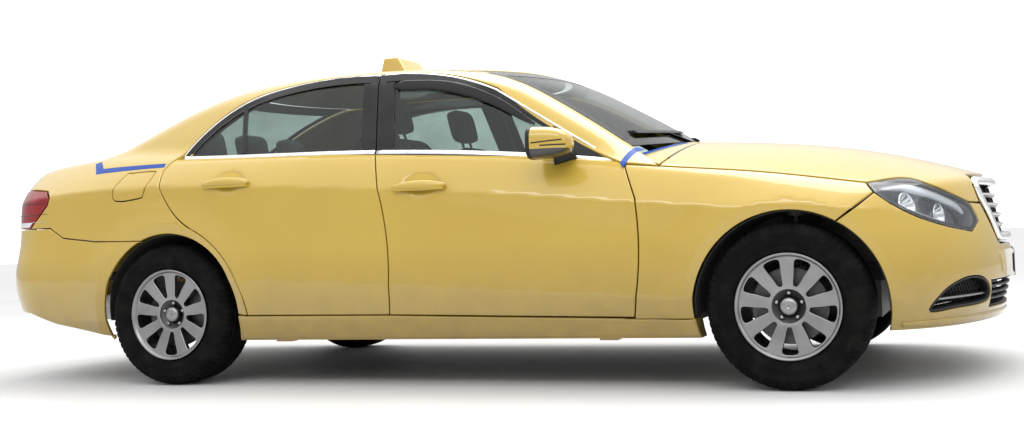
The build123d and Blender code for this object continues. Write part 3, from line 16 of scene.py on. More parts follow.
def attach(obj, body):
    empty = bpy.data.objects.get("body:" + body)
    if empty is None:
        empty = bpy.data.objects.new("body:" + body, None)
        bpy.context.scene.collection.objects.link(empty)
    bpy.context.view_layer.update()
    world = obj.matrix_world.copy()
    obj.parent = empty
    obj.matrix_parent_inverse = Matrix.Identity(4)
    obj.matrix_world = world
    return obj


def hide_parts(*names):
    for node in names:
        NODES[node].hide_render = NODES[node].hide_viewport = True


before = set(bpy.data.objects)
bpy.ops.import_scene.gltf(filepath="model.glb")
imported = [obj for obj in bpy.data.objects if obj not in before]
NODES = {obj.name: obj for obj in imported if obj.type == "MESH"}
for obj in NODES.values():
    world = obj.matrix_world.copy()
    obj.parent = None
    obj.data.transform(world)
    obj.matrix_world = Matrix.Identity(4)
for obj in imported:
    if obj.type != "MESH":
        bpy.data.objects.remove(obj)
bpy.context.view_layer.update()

MM = 0.001

# Body sections: x, half width, belt half width, belt height, crown height, shoulder height, crease height
BODY_SECTIONS = np.array([
    (-2500, 800, 600, 1000, 1030, 850, 475),
    (-1950, 884, 690, 1072, 1096, 905, 492),
    (-1300, 925, 800, 1054, 1084, 921, 495),
    (-400, 927, 842, 1026, 1062, 878, 460),
    (500, 924, 842, 970, 1058, 806, 408),
    (1300, 915, 818, 875, 1028, 731, 366),
    (1950, 893, 797, 791, 940, 695, 348),
    (2500, 842, 742, 690, 775, 640, 335),
], dtype=float)
SILL_Z, SILL_TUCK = 205.0, 62.0
DOOR_Z, DOOR_TUCK = 302.5, 24.0
SHOULDER_TUCK, FLANK_HOLLOW, SHOULDER_BULGE, BELT_FALL = 6.0, 5.0, 4.0, 1.2
# Heights off a point and their weights, which round the flank's creases
CREASE_BLUR = ((-6, 0.12), (-3, 0.23), (0, 0.3), (3, 0.23), (6, 0.12))

# Nose and tail: height, nose x, tail x
END_LEVELS = np.array([
    (150, 2330, -2300),
    (330, 2424, -2395),
    (540, 2426, -2436),
    (680, 2402, -2405),
    (850, 2346, -2392),
    (1130, 2200, -2280),
], dtype=float)
NOSE_PLAN = [(0, 0), (105, 490), (262, 735), (560, 945)]
TAIL_PLAN = [(0, 0), (50, 600), (135, 770), (490, 940)]
RUN_OUT, RUN_OUT_SLOPE = 4.0, 3.0

# Greenhouse: height, screen x, A corner x and y, side y, C corner x and y, rear screen x
GLASS_LEVELS = np.array([
    (880, 1300, 1075, 800, 893, -2230, 700, -2330),
    (1180, 832, 610, 697, 754, -1610, 636, -1790),
    (1480, 260, 75, 566, 602, -930, 527, -1110),
], dtype=float)
SIDE_MID_X = -330.0
ROOF_LINE = [(430, 1402), (-380, 1474), (-1240, 1412)]
ROOF_CROWN, ROOF_SIDE_Y = 150.0, 960.0

AXLE_FRONT_X, AXLE_REAR_X = 1600.0, -1274.0
TRACK_FRONT, TRACK_REAR = 1585.0, 1604.0
TYRE_R = 327.0
ARCH_SHIFT_X, ARCH_Z, ARCH_R = 6.0, 322.0, 378.0
LIP_START, LIP_CREASE, LIP_OUT, LIP_TUCK = 560.0, 424.0, 13.0, 0.3
UPPER_FOOT_Z = 880.0

# Shares that turn a run along x or y into a rough distance, and the rounding of the corners
NOSE_SLOPE, TAIL_SLOPE, SIDE_SLOPE, SCREEN_SLOPE = 0.85, 0.9, 0.9, 0.5
NOSE_ROUND, TAIL_ROUND, A_ROUND, C_ROUND = 110.0, 90.0, 40.0, 60.0

SKIN_LIFT = 3.0
SHUT_GAP = 5.0
EDGE_ROUND = 4.0
GRID = 16.0


# Curves and surfaces


def spline(knots, values):
    """A smooth function through the values, with the slopes of a natural cubic."""
    k, v = np.asarray(knots, float), np.asarray(values, float)
    n = len(k)
    h = np.diff(k)
    matrix, right = np.zeros((n, n)), np.zeros(n)
    matrix[0, 0] = matrix[-1, -1] = 1.0
    for i in range(1, n - 1):
        matrix[i, i - 1 : i + 2] = h[i - 1], 2 * (h[i - 1] + h[i]), h[i]
        right[i] = 6 * ((v[i + 1] - v[i]) / h[i] - (v[i] - v[i - 1]) / h[i - 1])
    bend = np.linalg.solve(matrix, right)

    def value(x):
        x = np.clip(x, k[0], k[-1])
        i = np.clip(np.searchsorted(k, x) - 1, 0, n - 2)
        a, b = k[i + 1] - x, x - k[i]
        cubic = (bend[i] * a**3 + bend[i + 1] * b**3) / (6 * h[i])
        return cubic + (v[i] / h[i] - bend[i] * h[i] / 6) * a + (v[i + 1] / h[i] - bend[i + 1] * h[i] / 6) * b

    return value


def circle_through(p, q, r):
    """Centre and radius of the circle through three points."""
    (x0, y0), (x1, y1), (x2, y2) = p, q, r
    d = 2 * (x0 * (y1 - y2) + x1 * (y2 - y0) + x2 * (y0 - y1))
    s0, s1, s2 = x0 * x0 + y0 * y0, x1 * x1 + y1 * y1, x2 * x2 + y2 * y2
    cx = (s0 * (y1 - y2) + s1 * (y2 - y0) + s2 * (y0 - y1)) / d
    cy = (s0 * (x2 - x1) + s1 * (x0 - x2) + s2 * (x1 - x0)) / d
    return cx, cy, math.hypot(x0 - cx, y0 - cy)


def end_curve(plan):
    """How far the nose or tail falls back at a half width: two arcs, then a straight run."""
    middle = circle_through((plan[1][0], -plan[1][1]), plan[0], plan[1])
    corner = circle_through(*plan[1:])
    last = plan[3][1] - RUN_OUT

    def back(y):
        y = np.abs(y)
        inner = middle[0] - np.sqrt(np.maximum(middle[2] ** 2 - np.minimum(y, plan[1][1]) ** 2, 0))
        held = np.clip(y, plan[1][1], last)
        outer = corner[0] - np.sqrt(np.maximum(corner[2] ** 2 - (held - corner[1]) ** 2, 0))
        return np.where(y < plan[1][1], inner, outer + RUN_OUT_SLOPE * np.maximum(y - last, 0))

    return back


HALF, BELT_Y, BELT_Z, CROWN_Z, SHOULDER_Z, CREASE_Z = (
    spline(BODY_SECTIONS[:, 0], BODY_SECTIONS[:, i]) for i in range(1, 7)
)
NOSE_X, TAIL_X = (spline(END_LEVELS[:, 0], END_LEVELS[:, i]) for i in (1, 2))
NOSE_BACK, TAIL_BACK = end_curve(NOSE_PLAN), end_curve(TAIL_PLAN)


def smooth_max(a, b, k):
    """The larger of two distances, with the corner between them rounded over k."""
    h = np.clip(0.5 + 0.5 * (a - b) / k, 0, 1)
    return b * (1 - h) + a * h + k * h * (1 - h)


def flank_exact(x, z):
    """Half width of the lower body, its creases sharp."""
    half, crease, shoulder = HALF(x), CREASE_Z(x), SHOULDER_Z(x)
    belt_y, belt_z = BELT_Y(x), BELT_Z(x)
    low = half - SILL_TUCK + (SILL_TUCK - DOOR_TUCK) * (z - SILL_Z) / (DOOR_Z - SILL_Z)
    door = half - DOOR_TUCK * (crease - z) / (crease - DOOR_Z)
    t = np.clip((z - crease) / (shoulder - crease), 0, 1)
    side = half - SHOULDER_TUCK * t - 4 * FLANK_HOLLOW * t * (1 - t)
    bulge = 4 * SHOULDER_BULGE
    rise = belt_z - shoulder + bulge
    inside = np.maximum(rise**2 - 4 * bulge * (np.minimum(z, belt_z) - shoulder), 0)
    t = (rise - np.sqrt(inside)) / (2 * bulge)
    start = half - SHOULDER_TUCK
    roll = start + (belt_y - start) * t + bulge * t * (1 - t) - BELT_FALL * np.maximum(z - belt_z, 0)
    return np.where(z < DOOR_Z, low, np.where(z < crease, door, np.where(z < shoulder, side, roll)))


def arch_lip(x, z):
    """How far the flank swells round each wheel, to a crease from which it tucks in again."""
    out = 0.0
    for axle_x in (AXLE_FRONT_X, AXLE_REAR_X):
        r = np.hypot(x - axle_x - ARCH_SHIFT_X, z - ARCH_Z)
        t = np.clip((LIP_START - r) / (LIP_START - LIP_CREASE), 0, 1)
        out = out + LIP_OUT * t * t * (1.6 - 0.6 * t) - LIP_TUCK * np.maximum(LIP_CREASE - r, 0)
    return out


def flank(x, z):
    """Half width of the lower body, its creases rounded a little."""
    smooth = sum(weight * flank_exact(x, z + rise) for rise, weight in CREASE_BLUR)
    return smooth + arch_lip(x, z)


def deck(x, y):
    """Height of the bonnet, deck and boot surface."""
    return CROWN_Z(x) - (CROWN_Z(x) - BELT_Z(x)) * (y / BELT_Y(x)) ** 2


def lower(p, top_round=26.0):
    """Signed distance, roughly, to the lower body's skin."""
    x, y, z = p[..., 0], np.abs(p[..., 1]), p[..., 2]
    side = y - flank(x, z)
    nose = (x - NOSE_X(z) + NOSE_BACK(y)) * NOSE_SLOPE
    tail = (TAIL_X(z) + TAIL_BACK(y) - x) * TAIL_SLOPE
    wall = smooth_max(smooth_max(side, nose, NOSE_ROUND), tail, TAIL_ROUND)
    return smooth_max(wall, z - deck(x, y), top_round)


def quadratic(column):
    """The value of a greenhouse column at a height, through its three levels."""
    (z0, z1, z2), (v0, v1, v2) = GLASS_LEVELS[:, 0], GLASS_LEVELS[:, column]

    def value(z):
        return (
            v0 * (z - z1) * (z - z2) / ((z0 - z1) * (z0 - z2))
            + v1 * (z - z0) * (z - z2) / ((z1 - z0) * (z1 - z2))
            + v2 * (z - z0) * (z - z1) / ((z2 - z0) * (z2 - z1))
        )

    return value


SCREEN_X, A_X, A_Y, SIDE_Y, C_X, C_Y, REAR_X = (quadratic(i) for i in range(1, 8))
ROOF_CIRCLE = circle_through(*ROOF_LINE)


def roof_height(x, y):
    """Height of the roof skin, running on straight past its ends."""
    cx, cz, r = ROOF_CIRCLE
    held = np.clip(x, ROOF_LINE[2][0], ROOF_LINE[0][0])
    top = cz + np.sqrt(r * r - (held - cx) ** 2)
    slope = -(held - cx) / (top - cz)
    return top + slope * (x - held) - ROOF_CROWN * (y / ROOF_SIDE_Y) ** 2


def upper(p, roof_round=70.0):
    """Signed distance, roughly, to the greenhouse skin."""
    x, y, z = p[..., 0], np.abs(p[..., 1]), p[..., 2]
    a_x, a_y, c_x, c_y, side_y = A_X(z), A_Y(z), C_X(z), C_Y(z), SIDE_Y(z)
    m = SIDE_MID_X
    side = (
        a_y * (x - m) * (x - c_x) / ((a_x - m) * (a_x - c_x))
        + side_y * (x - a_x) * (x - c_x) / ((m - a_x) * (m - c_x))
        + c_y * (x - a_x) * (x - m) / ((c_x - a_x) * (c_x - m))
    )
    flat = (y - side) * SIDE_SLOPE
    front = (x - SCREEN_X(z) + (SCREEN_X(z) - a_x) * (y / a_y) ** 2) * SCREEN_SLOPE
    back = (REAR_X(z) + (c_x - REAR_X(z)) * (y / c_y) ** 2 - x) * SCREEN_SLOPE
    wall = smooth_max(smooth_max(flat, front, A_ROUND), back, C_ROUND)
    shell = smooth_max(wall, z - roof_height(x, y), roof_round)
    return np.maximum(shell, UPPER_FOOT_Z - z)


def whole(p, fillet=70.0):
    """Lower body and greenhouse together, with a soft hollow where they meet."""
    a, b = lower(p), upper(p)
    return -smooth_max(-a, -b, fillet)


BISECTIONS, SECANTS = 9, 2


def cast(origin, ray, body, reach=1600.0):
    """Where rays from inside a body leave it."""
    low, high = np.zeros(origin.shape[:-1]), np.full(origin.shape[:-1], reach)
    in_value, out_value = np.full(low.shape, -1.0), np.full(low.shape, 1.0)
    for step in range(BISECTIONS + SECANTS):
        share = 0.5 if step < BISECTIONS else in_value / (in_value - out_value)
        middle = low + (high - low) * share
        value = body(origin + ray * middle[..., None])
        inside = value < 0
        low, high = np.where(inside, middle, low), np.where(inside, high, middle)
        in_value, out_value = np.where(inside, value, in_value), np.where(inside, out_value, value)
    return origin + ray * (low + (high - low) * in_value / (in_value - out_value))[..., None]


def stack(*columns):
    """Points from columns of coordinates or single numbers."""
    columns = np.broadcast_arrays(*[np.asarray(c, float) for c in columns])
    return np.stack(columns, axis=-1)


# Ways to lay a flat outline (u, v) on the body


SIDE_START_Y = -250.0


def from_side(body):
    """Drawn in side view: u is x, v is z."""
    return lambda u, v: cast(stack(u, SIDE_START_Y, v), stack(0, -1, 0), body)


def from_top(body, start_z=560.0):
    """Drawn in plan: u is x, v is y."""
    return lambda u, v: cast(stack(u, v, start_z), stack(0, 0, 1), body)


def from_front(body, start_x=-200.0):
    """Drawn in front view: u is y, v is z."""
    return lambda u, v: cast(stack(start_x, u, v), stack(1, 0, 0), body)


def from_back(body, start_x=-700.0):
    """Drawn in rear view: u is y, v is z."""
    return lambda u, v: cast(stack(start_x, u, v), stack(-1, 0, 0), body)


def upright(x):
    """Drawn on a flat upright plane across the car: u is y, v is z."""
    return lambda u, v: stack(x, u, v)


WRAP_R = 800.0
FRONT_HUB_X, REAR_HUB_X = 1700.0, -1700.0


def round_nose(body):
    """Wrapped round the nose: u is an angle from straight ahead times WRAP_R, v is z."""
    return lambda u, v: cast(stack(FRONT_HUB_X, 0, v), stack(np.cos(u / WRAP_R), np.sin(u / WRAP_R), 0), body)


def round_tail(body):
    """Wrapped round the tail: u is an angle from straight back times WRAP_R, v is z."""
    return lambda u, v: cast(stack(REAR_HUB_X, 0, v), stack(-np.cos(u / WRAP_R), np.sin(u / WRAP_R), 0), body)


ROLL_R, ROLL_Y, ROLL_Z = 420.0, -420.0, 720.0


def over_shoulder(body):
    """Rolled over the shoulder: u is x, v is an angle up from level times ROLL_R."""

    def laid(u, v):
        a = v / ROLL_R
        return cast(stack(u, ROLL_Y, ROLL_Z), stack(0, -np.cos(a), np.sin(a)), body)

    return laid


LID_R, LID_X, LID_Z = 260.0, -2120.0, 840.0
NOSE_R, NOSE_HUB_X, NOSE_HUB_Z = 800.0, 1500.0, 300.0


def over_tail(body):
    """Rolled over the tail edge: u is an angle back from upright times LID_R, v is y."""

    def laid(u, v):
        a = u / LID_R
        return cast(stack(LID_X, v, LID_Z), stack(-np.sin(a), 0, np.cos(a)), body)

    return laid


def over_nose(body):
    """Rolled over the bonnet and nose: u is an angle forward from upright times NOSE_R, v is y."""

    def laid(u, v):
        a = u / NOSE_R
        return cast(stack(NOSE_HUB_X, v, NOSE_HUB_Z), stack(np.sin(a), 0, np.cos(a)), body)

    return laid


# Points of a drawing laid on the body


def on_side(points, body=None):
    """Side-view points (x, z) on the right flank."""
    return from_side(body or whole)(*np.array(points, float).T)


def on_top(points, body=None):
    """Plan points (x, y) on the top."""
    return from_top(body or whole)(*np.array(points, float).T)


def on_front(points, body=None, start_x=FRONT_HUB_X):
    """Front-view points (y, z) on what faces forward."""
    y, z = np.array(points, float).T
    return cast(stack(start_x, y, z), stack(1, 0, 0), body or lower)


def on_back(points, body=None, start_x=REAR_HUB_X):
    """Rear-view points (y, z) on what faces back."""
    y, z = np.array(points, float).T
    return cast(stack(start_x, y, z), stack(-1, 0, 0), body or lower)


def flat_nose(p):
    """Points as they lie in round_nose."""
    return [(WRAP_R * math.atan2(y, x - FRONT_HUB_X), z) for x, y, z in p]


def flat_tail(p):
    """Points as they lie in round_tail."""
    return [(WRAP_R * math.atan2(y, REAR_HUB_X - x), z) for x, y, z in p]


def flat_shoulder(p):
    """Points as they lie in over_shoulder."""
    return [(x, ROLL_R * math.atan2(z - ROLL_Z, ROLL_Y - y)) for x, y, z in p]


def flat_lid(p):
    """Points as they lie in over_tail."""
    return [(LID_R * math.atan2(LID_X - x, z - LID_Z), y) for x, y, z in p]


def flat_bonnet(p):
    """Points as they lie in over_nose."""
    return [(NOSE_R * math.atan2(x - NOSE_HUB_X, z - NOSE_HUB_Z), y) for x, y, z in p]


# Outlines


def ring_points(radius, count):
    """Even points round a circle."""
    angles = np.linspace(0, 2 * math.pi, count, endpoint=False)
    return [(radius * math.cos(a), radius * math.sin(a)) for a in angles]


def arc(start, middle, end, steps=20):
    """Points along the arc through three points."""
    cx, cy, r = circle_through(start, middle, end)
    a0, a1, a2 = (math.atan2(p[1] - cy, p[0] - cx) for p in (start, middle, end))
    sweep = (a2 - a0) % (2 * math.pi)
    if (a1 - a0) % (2 * math.pi) > sweep:
        sweep -= 2 * math.pi
    angles = [a0 + sweep * i / steps for i in range(steps + 1)]
    return [(cx + r * math.cos(a), cy + r * math.sin(a)) for a in angles]


def bend(points, steps=10):
    """A smooth open line through points."""
    p = [np.array(q, float) for q in points]
    p = [2 * p[0] - p[1], *p, 2 * p[-1] - p[-2]]
    drawn = []
    for a, b, c, d in zip(p, p[1:], p[2:], p[3:]):
        square, cubic = 2 * a - 5 * b + 4 * c - d, 3 * b - a - 3 * c + d
        for i in range(steps):
            t = i / steps
            drawn.append(0.5 * (2 * b + (c - a) * t + square * t * t + cubic * t**3))
    drawn.append(p[-2])
    return [tuple(q) for q in drawn]


def closed(points, steps=6):
    """A smooth closed line through points."""
    n = len(points)
    return bend([*points[-2:], *points, *points[:2]], steps)[2 * steps : (n + 2) * steps]


def mirrored(points):
    """A half outline for negative u, closed with its mirror image."""
    return points + mirror_u(reversed(points))


def mirror_u(points):
    """Points mirrored from one side of the car to the other."""
    return [(-u, v) for u, v in points]


def line(p, q, steps):
    """Even points on a straight line, both ends among them."""
    return [(p[0] + (q[0] - p[0]) * i / steps, p[1] + (q[1] - p[1]) * i / steps) for i in range(steps + 1)]


SAME_POINT = 0.05


def tidy(points, step):
    """A closed outline with even spacing, its corners kept."""
    out = []
    for p, q in zip(points, points[1:] + points[:1]):
        length = math.dist(p, q)
        if length < SAME_POINT:
            continue
        count = max(1, int(math.ceil(length / step)))
        out += line(p, q, count)[:-1]
    return out


def spaced(points, step):
    """An open line with points about a step apart."""
    out = []
    for p, q in zip(points, points[1:]):
        count = max(1, int(math.dist(p, q) / step))
        out += line(p, q, count)[:-1]
    return [*out, points[-1]]


def shifted(points, distance):
    """An open line moved sideways, to the right of its run for positive distances."""
    p = np.array(points, float)
    along = np.gradient(p, axis=0)
    along /= np.linalg.norm(along, axis=1, keepdims=True) + 1e-9
    return [tuple(q) for q in p + distance * stack(-along[:, 1], along[:, 0])]


def outward(points):
    """Unit directions out of a closed outline at each of its points."""
    p = np.array(points, float)
    ahead, behind = np.roll(p, -1, axis=0) - p, p - np.roll(p, 1, axis=0)
    ahead /= np.linalg.norm(ahead, axis=1, keepdims=True) + 1e-9
    behind /= np.linalg.norm(behind, axis=1, keepdims=True) + 1e-9
    area = np.sum(p[:, 0] * np.roll(p[:, 1], -1) - np.roll(p[:, 0], -1) * p[:, 1])
    turn = 1.0 if area > 0 else -1.0
    n0, n1 = turn * stack(ahead[:, 1], -ahead[:, 0]), turn * stack(behind[:, 1], -behind[:, 0])
    both = n0 + n1
    return both / np.maximum(1.0 + np.sum(n0 * n1, axis=1, keepdims=True), 0.35)


def grown(points, distance):
    """A closed outline moved outwards, or inwards for a negative distance."""
    return [tuple(q) for q in np.array(points) + distance * outward(points)]


def holds(loop, points):
    """Which points lie inside a closed outline."""
    x, y = points[:, 0], points[:, 1]
    inside = np.zeros(len(points), bool)
    for (x0, y0), (x1, y1) in zip(loop, loop[1:] + loop[:1]):
        crosses = (y0 > y) != (y1 > y)
        inside ^= crosses & (x < (x1 - x0) * (y - y0) / (y1 - y0 + 1e-12) + x0)
    return inside


# Meshes


def new_object(name, vertices, faces, materials, normals=None):
    """A mesh object in metres from millimetre vertices."""
    mesh = bpy.data.meshes.new(name)
    mesh.from_pydata([tuple(c * MM for c in v) for v in vertices], [], faces)
    for material in materials if isinstance(materials, (list, tuple)) else [materials]:
        mesh.materials.append(material)
    mesh.polygons.foreach_set("use_smooth", [True] * len(mesh.polygons))
    mesh.update()
    if normals is not None:
        mesh.normals_split_custom_set_from_vertices([tuple(n) for n in normals])
    obj = bpy.data.objects.new(name, mesh)
    bpy.context.scene.collection.objects.link(obj)
    return obj


# Rings of a rolled edge: degrees turned, and whether the ring lies at the back of the skin
EDGE_STEPS = ((30, False), (60, False), (90, False), (90, True))
OUTLINE_STEP, FIELD_MARGIN = 0.6, 0.45


def inside_all(loops, points):
    """Which points lie inside the first outline and outside the holes that follow it."""
    keep = holds(loops[0], points)
    for hole in loops[1:]:
        keep &= ~holds(hole, points)
    return keep


def field_points(inner, grid):
    """Grid points inside an outline and outside its holes, a margin clear of both."""
    gap = grid * FIELD_MARGIN
    margin = [grown(loop, -gap if i == 0 else gap) for i, loop in enumerate(inner)]
    low, high = np.min(inner[0], axis=0), np.max(inner[0], axis=0)
    us = np.arange(low[0] + grid / 2, high[0], grid)
    vs = np.arange(low[1] + grid / 2, high[1], grid)
    field = np.array([(u, v) for v in vs for u in us]).reshape(-1, 2)
    return field[inside_all(margin, field)]


def flat_mesh(inner, grid):
    """Flat points and faces between an outline and its holes, and which point each outline point became."""
    flat, edges = [], []
    for loop in inner:
        start = len(flat)
        flat += loop
        edges += [(start + i, start + (i + 1) % len(loop)) for i in range(len(loop))]
    flat += [tuple(p) for p in field_points(inner, grid)]
    verts, _, faces, origins, _, _ = delaunay_2d_cdt([Vector(p) for p in flat], edges, [], 0, 1e-5)
    uv = np.array([tuple(v) for v in verts])
    centres = np.array([uv[list(f)].mean(axis=0) for f in faces])
    kept = [tuple(f) for f, keep in zip(faces, inside_all(inner, centres)) if keep]
    became = {s: i for i, sources in enumerate(origins) for s in sources}
    return uv, kept, became


def edge_ring(base, way, lay, reach, a):
    """A ring of a rolled edge at an angle: its points, the skin's normals there and its own normals."""
    ring_uv = base + way * reach * math.sin(a)
    p, n = surface(ring_uv, lay)
    side = lay(*(ring_uv + way).T) - p
    side /= np.linalg.norm(side, axis=1, keepdims=True) + 1e-9
    return p, n, n * math.cos(a) + side * math.sin(a)


def skin_arrays(loops, lay, lift, thick, edge, grid):
    """Vertices, normals and faces of a skin with rolled edges; loops are the outline, then holes."""
    loops = [tidy(list(loop), grid * OUTLINE_STEP) for loop in loops]
    inner = [grown(loop, -edge if i == 0 else edge) for i, loop in enumerate(loops)]
    ways = [outward(loop) * (1 if i == 0 else -1) for i, loop in enumerate(loops)]
    uv, faces, became = flat_mesh(inner, grid)
    points, normals = surface(uv, lay)
    points, normals = list(points + lift * normals), list(normals)
    back = {}

    def add_back(ids):
        for i in ids:
            if i not in back:
                back[i] = len(points)
                points.append(points[i] - thick * normals[i])
                normals.append(-normals[i])

    for face in list(faces):
        add_back(face)
        faces.append(tuple(back[i] for i in reversed(face)))
    start = 0
    for loop, way in zip(inner, ways):
        ids = [became[start + i] for i in range(len(loop))]
        rings = [ids]
        for angle, at_back in EDGE_STEPS:
            a = math.radians(angle)
            p, n, rolled = edge_ring(np.array(loop), way, lay, edge, a)
            drop = thick if at_back else edge * (1 - math.cos(a))
            rings.append(list(range(len(points), len(points) + len(loop))))
            points += list(p + n * (lift - drop))
            normals += list(rolled)
        add_back(ids)
        rings.append([back[i] for i in ids])
        for ring, after in zip(rings, rings[1:]):
            for i in range(len(ring)):
                j = (i + 1) % len(ring)
                faces.append((ring[i], ring[j], after[j], after[i]))
        start += len(loop)
    return np.array(points), np.array(normals), faces


# Step for a normal; a point inside the body and how much a normal's x counts in finding its outer side
NORMAL_STEP = 1.5
BODY_MIDDLE, LENGTH_SHARE = np.array((0.0, 0.0, 560.0)), 0.3


def surface(uv, lay):
    """Points and outward normals of a laid surface at flat points."""
    u, v = uv[:, 0], uv[:, 1]
    p = lay(u, v)
    e = NORMAL_STEP
    du, dv = lay(u + e, v) - lay(u - e, v), lay(u, v + e) - lay(u, v - e)
    n = np.cross(du, dv)
    n /= np.linalg.norm(n, axis=1, keepdims=True) + 1e-12
    out = p - BODY_MIDDLE
    out[:, 0] *= LENGTH_SHARE
    n *= np.where(np.sum(n * out, axis=1, keepdims=True) < 0, -1.0, 1.0)
    return p, n


def face_out(points, normals, faces):
    """Faces turned so that they agree with their vertex normals."""
    faced = []
    for f in faces:
        a, b, c = (points[i] for i in f[:3])
        n = np.cross(b - a, c - a)
        agrees = np.dot(n, normals[f[0]] + normals[f[1]] + normals[f[2]]) >= 0
        faced.append(f if agrees else tuple(reversed(f)))
    return faced


def set_down(name, bodies, points, faces, material, normals=None):
    """A piece on one body, or, for a pair of bodies, a right piece and its mirror image on the left."""
    if isinstance(bodies, str):
        copies = [(name, bodies, 1)]
    else:
        copies = [(name + "_r", bodies[0], 1), (name + "_l", bodies[1], -1)]
    objects = []
    for label, body, side in copies:
        flip = np.array((1, side, 1))
        laid = faces if side > 0 else [tuple(reversed(f)) for f in faces]
        out = None if normals is None else normals * flip
        obj = new_object(label, points * flip, laid, material, normals=out)
        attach(obj, body)
        objects.append(obj)
    return objects


def skin(name, bodies, loops, lay, material, lift=SKIN_LIFT, thick=16.0, edge=EDGE_ROUND, grid=GRID):
    """A painted or glazed skin; its first loop is the outline, the others are holes."""
    points, normals, faces = skin_arrays(loops, lay, lift, thick, edge, grid)
    return set_down(name, bodies, points, face_out(points, normals, faces), material, normals)


def band_faces(rows, size, around=True, closed_rows=True):
    """Four-sided faces over rows of points of one size; around joins the last row to the first."""
    faces = []
    for k in range(rows if around else rows - 1):
        after = (k + 1) % rows
        for i in range(size if closed_rows else size - 1):
            j = (i + 1) % size
            faces.append((k * size + i, k * size + j, after * size + j, after * size + i))
    return faces


RAIL_STEPS = 12
RAIL_SQUARE = 0.6


def rail_shell(path, lay, width, low, high, loop=False, swell=None):
    """Points and faces of a rounded moulding along a drawn line."""
    p = np.array(path, float)
    if loop:
        along = np.roll(p, -1, axis=0) - np.roll(p, 1, axis=0)
    else:
        along = np.gradient(p, axis=0)
    along /= np.linalg.norm(along, axis=1, keepdims=True) + 1e-9
    across = stack(along[:, 1], -along[:, 0])
    grow = np.ones(len(p)) if swell is None else swell(np.linspace(0, 1, len(p)))
    base, out = surface(p, lay)
    sides = [lay(*(p + across * (side * grow * width / 2)[:, None]).T) for side in (-1, 1)]
    half, sag = (sides[1] - sides[0]) / 2, (sides[1] + sides[0]) / 2 - base
    rings = []
    for k in range(RAIL_STEPS):
        a = 2 * math.pi * k / RAIL_STEPS
        c, s = (math.copysign(abs(f) ** RAIL_SQUARE, f) for f in (math.cos(a), math.sin(a)))
        height = low + (high - low) * (0.5 + 0.5 * s * grow)
        rings.append(base + half * c + sag * c * c + out * height[:, None])
    n = len(p)
    faces = band_faces(RAIL_STEPS, n, closed_rows=loop)
    if not loop:
        faces.append(tuple(k * n for k in range(RAIL_STEPS)))
        faces.append(tuple(k * n + n - 1 for k in reversed(range(RAIL_STEPS))))
    return np.concatenate(rings), faces


def rail(name, bodies, path, lay, material, width, low, high, loop=False, swell=None):
    """A rounded moulding along a drawn line, width across and from low to high off the surface."""
    points, faces = rail_shell(path, lay, width, low, high, loop, swell)
    return closed_pieces(name, bodies, points, faces, material)


def rails(name, bodies, paths, lay, material, width, low, high):
    """Several mouldings of one size as one piece."""
    points, faces = [], []
    for path in paths:
        some_points, some_faces = rail_shell(path, lay, width, low, high)
        start = sum(len(group) for group in points)
        points.append(some_points)
        faces += [tuple(start + i for i in f) for f in some_faces]
    return closed_pieces(name, bodies, np.concatenate(points), faces, material)


# How a moulding swells along its run, t from 0 to 1


def taper(t):
    """Full at the start of a line, running out to a point at its end."""
    return np.sqrt(np.clip(1 - t**3, 0.03, 1)) * np.clip(0.3 + 12 * t, 0, 1)


def blade_end(t):
    """Full along a blade, falling away at both ends."""
    return np.sin(np.pi * (0.03 + 0.94 * t)) ** 0.3


def spindle(t):
    """Full in the middle, falling away to both ends."""
    return np.sin(np.pi * (0.06 + 0.88 * t)) ** 0.5


def closed_pieces(name, bodies, points, faces, material):
    """Pieces from a closed shell whose faces are then turned outwards."""
    objects = set_down(name, bodies, points, faces, material)
    for obj in objects:
        shell = bmesh.new()
        shell.from_mesh(obj.data)
        bmesh.ops.recalc_face_normals(shell, faces=shell.faces)
        shell.to_mesh(obj.data)
        shell.free()
    return objects


def turned(name, bodies, profile, centre, axis, material, steps=64):
    """A closed ring turned from a closed profile of (radius, height along the axis)."""
    axis = Vector(axis).normalized()
    side = axis.orthogonal().normalized()
    up = axis.cross(side)
    points = []
    for k in range(steps):
        a = 2 * math.pi * k / steps
        arm = side * math.cos(a) + up * math.sin(a)
        points += [np.array(centre) + np.array(arm) * r + np.array(axis) * h for r, h in profile]
    faces = band_faces(steps, len(profile))
    return closed_pieces(name, bodies, np.array(points), faces, material)


def stacked(name, bodies, rings, material):
    """A closed piece through a stack of rings of points."""
    count = len(rings[0])
    points = np.array([p for ring in rings for p in ring], float)
    ends = tuple(reversed(range(count))), tuple(range(len(points) - count, len(points)))
    faces = [ends[0], *band_faces(len(rings), count, around=False), ends[1]]
    return closed_pieces(name, bodies, points, faces, material)


def tray(name, bodies, loop, lay, material, depth):
    """A sunk pan: a wall round a loop and a floor at a depth below the surface."""
    rail(name + "_wall", bodies, grown(loop, -2.0), lay, material, width=4.0, low=-depth, high=-1.0,
         loop=True)
    return skin(name + "_floor", bodies, [grown(loop, -3.0)], lay, material, lift=-depth, thick=4.0,
                edge=1.0)


# Materials


def shader(name):
    """A material with its node tree and its principled shader."""
    mat = bpy.data.materials.new(name)
    mat.use_nodes = True
    tree = mat.node_tree
    return mat, tree, tree.nodes["Principled BSDF"]


def node(tree, kind, **values):
    """A node with sockets set by name, or by number as in0, in1."""
    made = tree.nodes.new("ShaderNode" + kind)
    for key, value in values.items():
        if key.startswith("in") and key[2:].isdigit():
            made.inputs[int(key[2:])].default_value = value
        elif key in made.inputs:
            made.inputs[key].default_value = value
        else:
            setattr(made, key, value)
    return made


